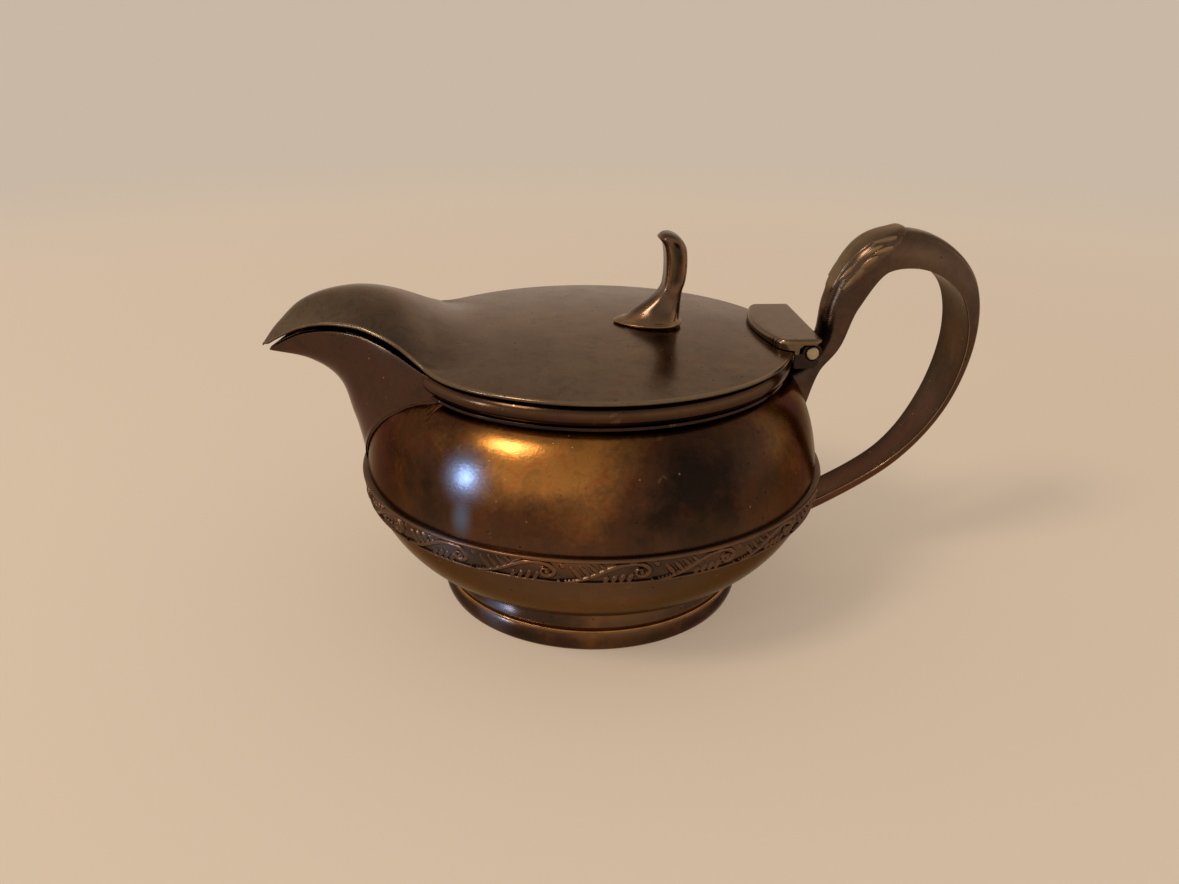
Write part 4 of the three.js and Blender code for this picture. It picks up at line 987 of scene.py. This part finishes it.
def tint(red, green, blue):
    """A colour given as it looks on a screen, from 0 to 255, as the shader's linear numbers."""
    seen = np.array([red, green, blue]) / 255
    return tuple(float(v) for v in np.where(seen <= 0.04045, seen / 12.92, ((seen + 0.055) / 1.055) ** 2.4))


# Tarnish over silver plate, from thin to thick
GOLD, AMBER, RUSSET = tint(214, 152, 80), tint(150, 106, 60), tint(104, 68, 42)
BROWN, UMBER, SOOT = tint(84, 58, 40), tint(62, 42, 29), tint(42, 30, 23)
# The blue is the colour of a painted window reflection, and the last the pale grey of a painted reflection of the
# floor
GREY, WINDOW_REFLECTION_BLUE, FLOOR_REFLECTION_GREY = tint(72, 62, 54), tint(96, 114, 146), tint(122, 98, 78)

# Casts multiply the colour in cloudy patches; painted shade lies on the lid's underside and edge faces, in the
# finial's hollows and on the handle's inside, and pits and flecks are dots
RED_CAST, OLIVE_CAST, DARK_CAST = (1.0, 0.62, 0.5, 1), (1.1, 1.16, 1.0, 1), (0.62, 0.62, 0.66, 1)
PAINTED_SHADE, PIT, FLECK = (*tint(30, 22, 17), 1), (*tint(34, 22, 14), 1), (*tint(168, 138, 104), 1)
COAT_ROUGHNESS = 0.16
SCRATCHES = dict(size=0.35, stretch=(0.06, 1, 1), turn=(0.3, 0.2, 0.5))
CROSS_SCRATCHES = dict(size=0.3, stretch=(1, 0.05, 1), turn=(0.1, 0.4, 1.1))


def tarnish(
    name, stops, patch=26.0, contrast=0.5, gain=EVEN, spots=(), tone=(), wear_and_highlight_colour=tint(190, 160, 122), wear_and_highlight_share=0.6,
    speck=0.0, rough=0.24, depth=0.03, coat=0.35, edge=(0.5, 0.4, 0.3),
):
    """Plate under tarnish. The film's thickness is cloudy noise over patches of the given millimetres, and
    thinner or thicker round the spots: place, reach, shift and stretch. Its colour runs through the stops,
    times the gain, and is laid over by the tones: place, reach, share, colour and stretch; some tones are
    painted highlights and painted reflections. Where the mesh's mark is above 0 the metal is brightened to
    a given colour by a given share, for rubbed wear and for painted highlights, and where it is below 0
    painted shade lies. Pits, specks and flecks are scattered dots. Fine scratches and pits give the relief,
    depth millimetres deep; edge is the tint of grazing light, and a clear film lies over all."""
    material = bpy.data.materials.new(name)
    r = Recipe(material)
    stops = [(at, tuple(k * c for k, c in zip(gain, shade))) for at, shade in stops]
    broad = r.noise(patch, 2.0, 0.45, distortion=0.3)
    cloud = r.noise(patch * 0.25, 4.0, 0.55, distortion=0.3)
    grain = r.noise(0.9, 3.0, 0.6)
    film = (broad * 0.6 + cloud * 0.3 + grain * 0.1 - 0.5) * (1.0 / contrast) + 0.5
    for spot, reach, shift, *stretch in spots:
        film = film + r.near(spot, reach, *stretch) * shift * cloud.between(0.3, 0.6, 0.7, 1.2)
    colour = r.ramp(film.clamped(), stops)
    red, olive = (r.noise(size, 4.0, 0.65, distortion=0.8) for size in (3.4, 4.6))
    colour = r.blend(red.between(0.52, 0.66) * 0.5, colour, RED_CAST, "MULTIPLY")
    colour = r.blend(olive.between(0.55, 0.68) * 0.55, colour, OLIVE_CAST, "MULTIPLY")
    colour = r.blend(red.between(0.5, 0.36) * 0.5, colour, DARK_CAST, "MULTIPLY")
    for spot, reach, share, shade, *stretch in tone:
        colour = r.blend((r.near(spot, reach, *stretch) * share).clamped(), colour, (*shade, 1))
    # Brighter metal where the mesh's mark is above 0: rubbed wear and painted highlights
    wear_and_light_mask = (r.wear_and_light_here() * wear_and_highlight_share * cloud.between(0.3, 0.6, 0.55, 1.0)).clamped()
    colour = r.blend(wear_and_light_mask, colour, (*wear_and_highlight_colour, 1))
    # Painted shade where the mesh's mark is below 0
    colour = r.blend((r.wear_and_light_here() * -0.85).clamped(), colour, PAINTED_SHADE)
    pits, specks = r.dots(2.6, 0.05, 0.11), r.dots(1.35, 0.04, 0.1)
    colour = r.blend((pits * 0.55 + specks * speck).clamped(), colour, PIT)
    flecks = r.dots(2.3, 0.05, 0.1, 0.9) * olive.between(0.5, 0.56)
    stains = r.dots(9.0, 0.1, 0.13) * red.between(0.5, 0.56)
    colour = r.blend((flecks * 0.55 + stains * 0.14).clamped(), colour, FLECK)
    lines, cross = (r.noise(detail=2.0, rough=0.5, **scratch) for scratch in (SCRATCHES, CROSS_SCRATCHES))
    haze = r.noise(6.0, 4.0, 0.6)
    roughness = (rough + (haze - 0.5) * 0.22 + (lines - 0.5) * 0.08 + wear_and_light_mask * -0.06 + pits * 0.2).clamped()
    relief = lines * 0.25 + cross * 0.2 + grain * 0.25 - pits * 0.8 - specks * 0.3
    normal = r.node("Bump", {}, {"Height": relief, "Distance": depth * MM, "Strength": 1.0}, "Normal")
    varies = {"Base Color": colour, "Roughness": roughness, "Normal": normal}
    even = {"Metallic": 1.0, "Coat Weight": coat, "Coat Roughness": COAT_ROUGHNESS, "Specular Tint": (*edge, 1)}
    r.node("OutputMaterial", {}, {"Surface": r.node("BsdfPrincipled", {}, {**varies, **even}, "BSDF")})
    return material


PLATE = [(0.0, GOLD), (0.22, AMBER), (0.45, RUSSET), (0.65, BROWN), (0.85, UMBER), (1.0, SOOT)]

METALS = {
    "bowl": tarnish(
        "bowl_tarnish", PLATE, patch=30.0,
        spots=[
            ((-14, -36, 45), 14, -0.7), ((-2, -39, 43), 24, -0.55), ((10, -41, 37), 12, 0.3),
            ((-30, -25, 43), 16, 0.05), ((6, -42, 31), 26, 0.42), ((38, -18, 38), 12, 0.2),
            ((-33, -27, 33), 16, 0.3),
        ],
        tone=[
            ((28, -30, 41), 13, 0.35, GREY), ((40, -16, 32), 16, 0.5, UMBER),
            # Painted reflection of the pale floor: lighter and greyer towards the bottom
            ((0, 0, 10), 100, 1.2, FLOOR_REFLECTION_GREY, (1, 1, 3.2)),
            # Painted window reflection: a blue tint where the window lamp's highlight falls, and on the streak below
            # it
            ((-24, -34.8, 38.6), 6.5, 0.9, WINDOW_REFLECTION_BLUE), ((-24.8, -36.3, 31.5), 4.5, 0.8, WINDOW_REFLECTION_BLUE, (1.6, 1.6, 1)),
        ],
        gain=(0.64, 0.58, 0.54), rough=0.25, contrast=0.4, depth=0.045, coat=0.12,
    ),
    "foot": tarnish(
        "foot_tarnish", PLATE, patch=16.0, spots=[((0, 0, 0), 60, 0.2)], wear_and_highlight_share=0.75,
        # Painted highlights: blue where the window lamp's highlight falls at the left, and gold over the front of the
        # bead and cove
        tone=[((-20, -22, 4), 6, 0.5, WINDOW_REFLECTION_BLUE), ((4, -27, 8), 14, 0.35, AMBER)],
        gain=(0.42, 0.37, 0.32), wear_and_highlight_colour=tint(206, 150, 90),
    ),
    "rim": tarnish(
        "rim_tarnish", [(0.0, RUSSET), (0.4, BROWN), (0.7, UMBER), (1.0, SOOT)], patch=18.0, wear_and_highlight_share=0.25,
        wear_and_highlight_colour=AMBER, gain=(0.4, 0.32, 0.27),
    ),
    "spout": tarnish(
        "spout_tarnish", [(0.0, RUSSET), (0.35, BROWN), (0.7, tint(78, 56, 43)), (1.0, tint(66, 52, 44))],
        gain=(0.78, 0.72, 0.76),
    ),
    "band": tarnish(
        "band_relief", [(0.0, tint(100, 72, 52)), (0.5, tint(76, 54, 39)), (1.0, tint(44, 31, 22))], patch=12.0,
        wear_and_highlight_share=0.5, wear_and_highlight_colour=tint(132, 94, 64), rough=0.32, gain=(0.9, 0.95, 1.0),
        # Painted highlights: gold on the bead left of the middle, and blue where the window lamp's highlight falls at
        # the left
        tone=[((-10, -43, 28.8), 12, 0.3, tint(186, 118, 58), (1, 1, 2.5)), ((-28, -36, 28), 9, 0.4, WINDOW_REFLECTION_BLUE)],
    ),
    "handle": tarnish(
        "handle_cast", [(0.0, tint(112, 82, 60)), (0.4, tint(88, 66, 50)), (0.75, tint(72, 56, 46)), (1.0, UMBER)],
        patch=16.0, gain=(0.92, 0.96, 1.04), rough=0.26, coat=0.15, edge=(0.6, 0.52, 0.45), contrast=0.4,
        tone=[((60, -4, 18), 34, 0.6, tint(104, 60, 38)), ((66, -4, 70), 20, 0.3, tint(130, 106, 86))],
    ),
    "hinge": tarnish("hinge_metal", [(0.0, UMBER), (0.6, SOOT), (1.0, tint(28, 20, 15))], patch=6.0, rough=0.4),
    "pin": tarnish("pin_metal", [(0.0, tint(190, 176, 144)), (1.0, tint(148, 132, 102))], patch=3.0, rough=0.38),
    "lid": tarnish(
        "lid_worn",
        [(0.0, tint(140, 110, 80)), (0.4, tint(124, 98, 72)), (0.75, tint(110, 86, 64)), (1.0, tint(94, 72, 56))],
        patch=20.0, speck=0.45, rough=0.22, contrast=0.45, gain=(0.84, 0.94, 1.1), coat=0.12,
        edge=(0.72, 0.64, 0.6),
    ),
    "finial": tarnish(
        "finial_cast", [(0.0, tint(128, 94, 64)), (0.5, tint(98, 78, 60)), (1.0, tint(70, 55, 44))], patch=7.0,
        gain=(0.86, 0.88, 0.92), edge=(0.6, 0.54, 0.5), wear_and_highlight_colour=tint(196, 150, 104), wear_and_highlight_share=0.7, contrast=0.42,
    ),
}


# ---- making ----------------------------------------------------------------------------------------

for make, metal in (
    (make_bowl, "bowl"), (make_spout, "spout"), (make_foot, "foot"), (make_rim, "rim"), (make_band, "band"),
    (make_handle, "handle"), (make_lid, "lid"), (make_finial, "finial"), (make_pin, "pin"),
    (make_knuckle, "hinge"), (make_bracket, "hinge"), (make_hinge_leaf, "lid"),
):
    finishes = make().data.materials
    finishes.clear()
    finishes.append(METALS[metal])


# ---- floor, light and camera -----------------------------------------------------------------------

# The backdrop's tone, the even tone of the floor round the object, and the floor's own colour
PALE, NEARBY, MATT = (*tint(201, 184, 165), 1), (*tint(226, 201, 174), 1), (*tint(246, 231, 213), 1)
SKY = [(0.0, tint(224, 209, 193)), (0.3, tint(212, 199, 185)), (0.6, tint(182, 172, 162)), (1.0, tint(154, 146, 138))]
FLOOR_REACH, EVEN_SHARE = 20.0, 0.33


def make_floor():
    """A plain pale floor. A share of its tone is even, and away from the object it passes into the
    backdrop's even tone."""
    mesh = bpy.data.meshes.new("floor")
    corners = [(x * FLOOR_REACH, y * FLOOR_REACH, 0) for x, y in ((-1, -1), (1, -1), (1, 1), (-1, 1))]
    mesh.from_pydata(corners, [], [(0, 1, 2, 3)])
    floor = bpy.data.objects.new("floor", mesh)
    bpy.context.scene.collection.objects.link(floor)
    material = bpy.data.materials.new("floor_matt")
    r = Recipe(material)
    matt = r.node("BsdfDiffuse", {}, {"Color": MATT}, "BSDF")
    away = r.node("VectorMath", {"operation": "LENGTH"}, {0: r.place()}, "Value").between(190.0, 700.0)
    even = r.node("Emission", {}, {"Color": r.blend(away, NEARBY, PALE), "Strength": 1.0}, "Emission")
    seen = (r.ray("Camera") + r.ray("Glossy") + r.ray("Transmission")).clamped()
    share = (away * (1 - EVEN_SHARE) + EVEN_SHARE) * seen
    r.node("OutputMaterial", {}, {"Surface": r.node("MixShader", {}, {0: share, 1: matt, 2: even}, "Shader")})
    mesh.materials.append(material)


def make_world():
    """Pale at the horizon and dimmer overhead, the same all round. The camera sees the backdrop's tone."""
    world = bpy.data.worlds.new("studio")
    bpy.context.scene.world = world
    r = Recipe(world)
    up = r.node("SeparateXYZ", {}, {"Vector": r.node("TexCoord", {}, {}, "Generated")}, "Z")
    colour = r.blend(r.ray("Camera"), r.ramp(up, SKY), PALE)
    sky = r.node("Background", {}, {"Color": colour, "Strength": 1.0}, "Background")
    r.node("OutputWorld", {}, {"Surface": sky})


def add_lamp(name, place, aim, size, power, colour):
    """A soft rectangular lamp at a place, turned to what it is aimed at."""
    lamp = bpy.data.lights.new(name, "AREA")
    lamp.shape = "RECTANGLE"
    lamp.size, lamp.size_y = size
    lamp.energy = power
    lamp.color = colour
    made = bpy.data.objects.new(name, lamp)
    bpy.context.scene.collection.objects.link(made)
    made.location = place
    made.rotation_mode = "QUATERNION"
    made.rotation_quaternion = (Vector(aim) - Vector(place)).to_track_quat("-Z", "Y")


# The eye is given in millimetres from the bowl's axis, and the camera's axes by their directions
SENSOR, FOCAL_PIXELS, PHOTO_WIDTH = 36.0, 1000, 1179
EYE = (-16.22, -185.43, 108.42)
RIGHT, UP, AHEAD = (0.9968, -0.0793, 0.0122), (0.0198, 0.39, 0.9206), (0.0778, 0.9174, -0.3904)


def make_camera():
    """The photograph's view: 30.5 mm lens on a 36 mm wide sensor, from 23 degrees above the table."""
    camera = bpy.data.cameras.new("view")
    camera.sensor_fit = "HORIZONTAL"
    camera.sensor_width = SENSOR
    camera.lens = SENSOR * FOCAL_PIXELS / PHOTO_WIDTH
    camera.clip_start, camera.clip_end = 0.005, 50
    turn = Matrix((RIGHT, UP, -Vector(AHEAD))).transposed().to_4x4()
    made = bpy.data.objects.new("view", camera)
    made.matrix_world = Matrix.Translation((Vector(EYE) + Vector((AXIS_X, 0, 0))) * MM) @ turn
    bpy.context.scene.collection.objects.link(made)
    bpy.context.scene.camera = made


make_floor()
make_world()
add_lamp(
    "window", place=(-1.03, -0.44, 0.2), aim=(-0.02, -0.03, 0.03), size=(0.09, 0.2), power=1.15,
    colour=(0.78, 0.89, 1.0),
)
add_lamp(
    "lamp", place=(-0.62, -0.4, 0.78), aim=(0, 0, 0.03), size=(0.26, 0.26), power=3.0, colour=(1.0, 0.85, 0.66)
)
make_camera()
bpy.context.scene.view_settings.view_transform = "Standard"
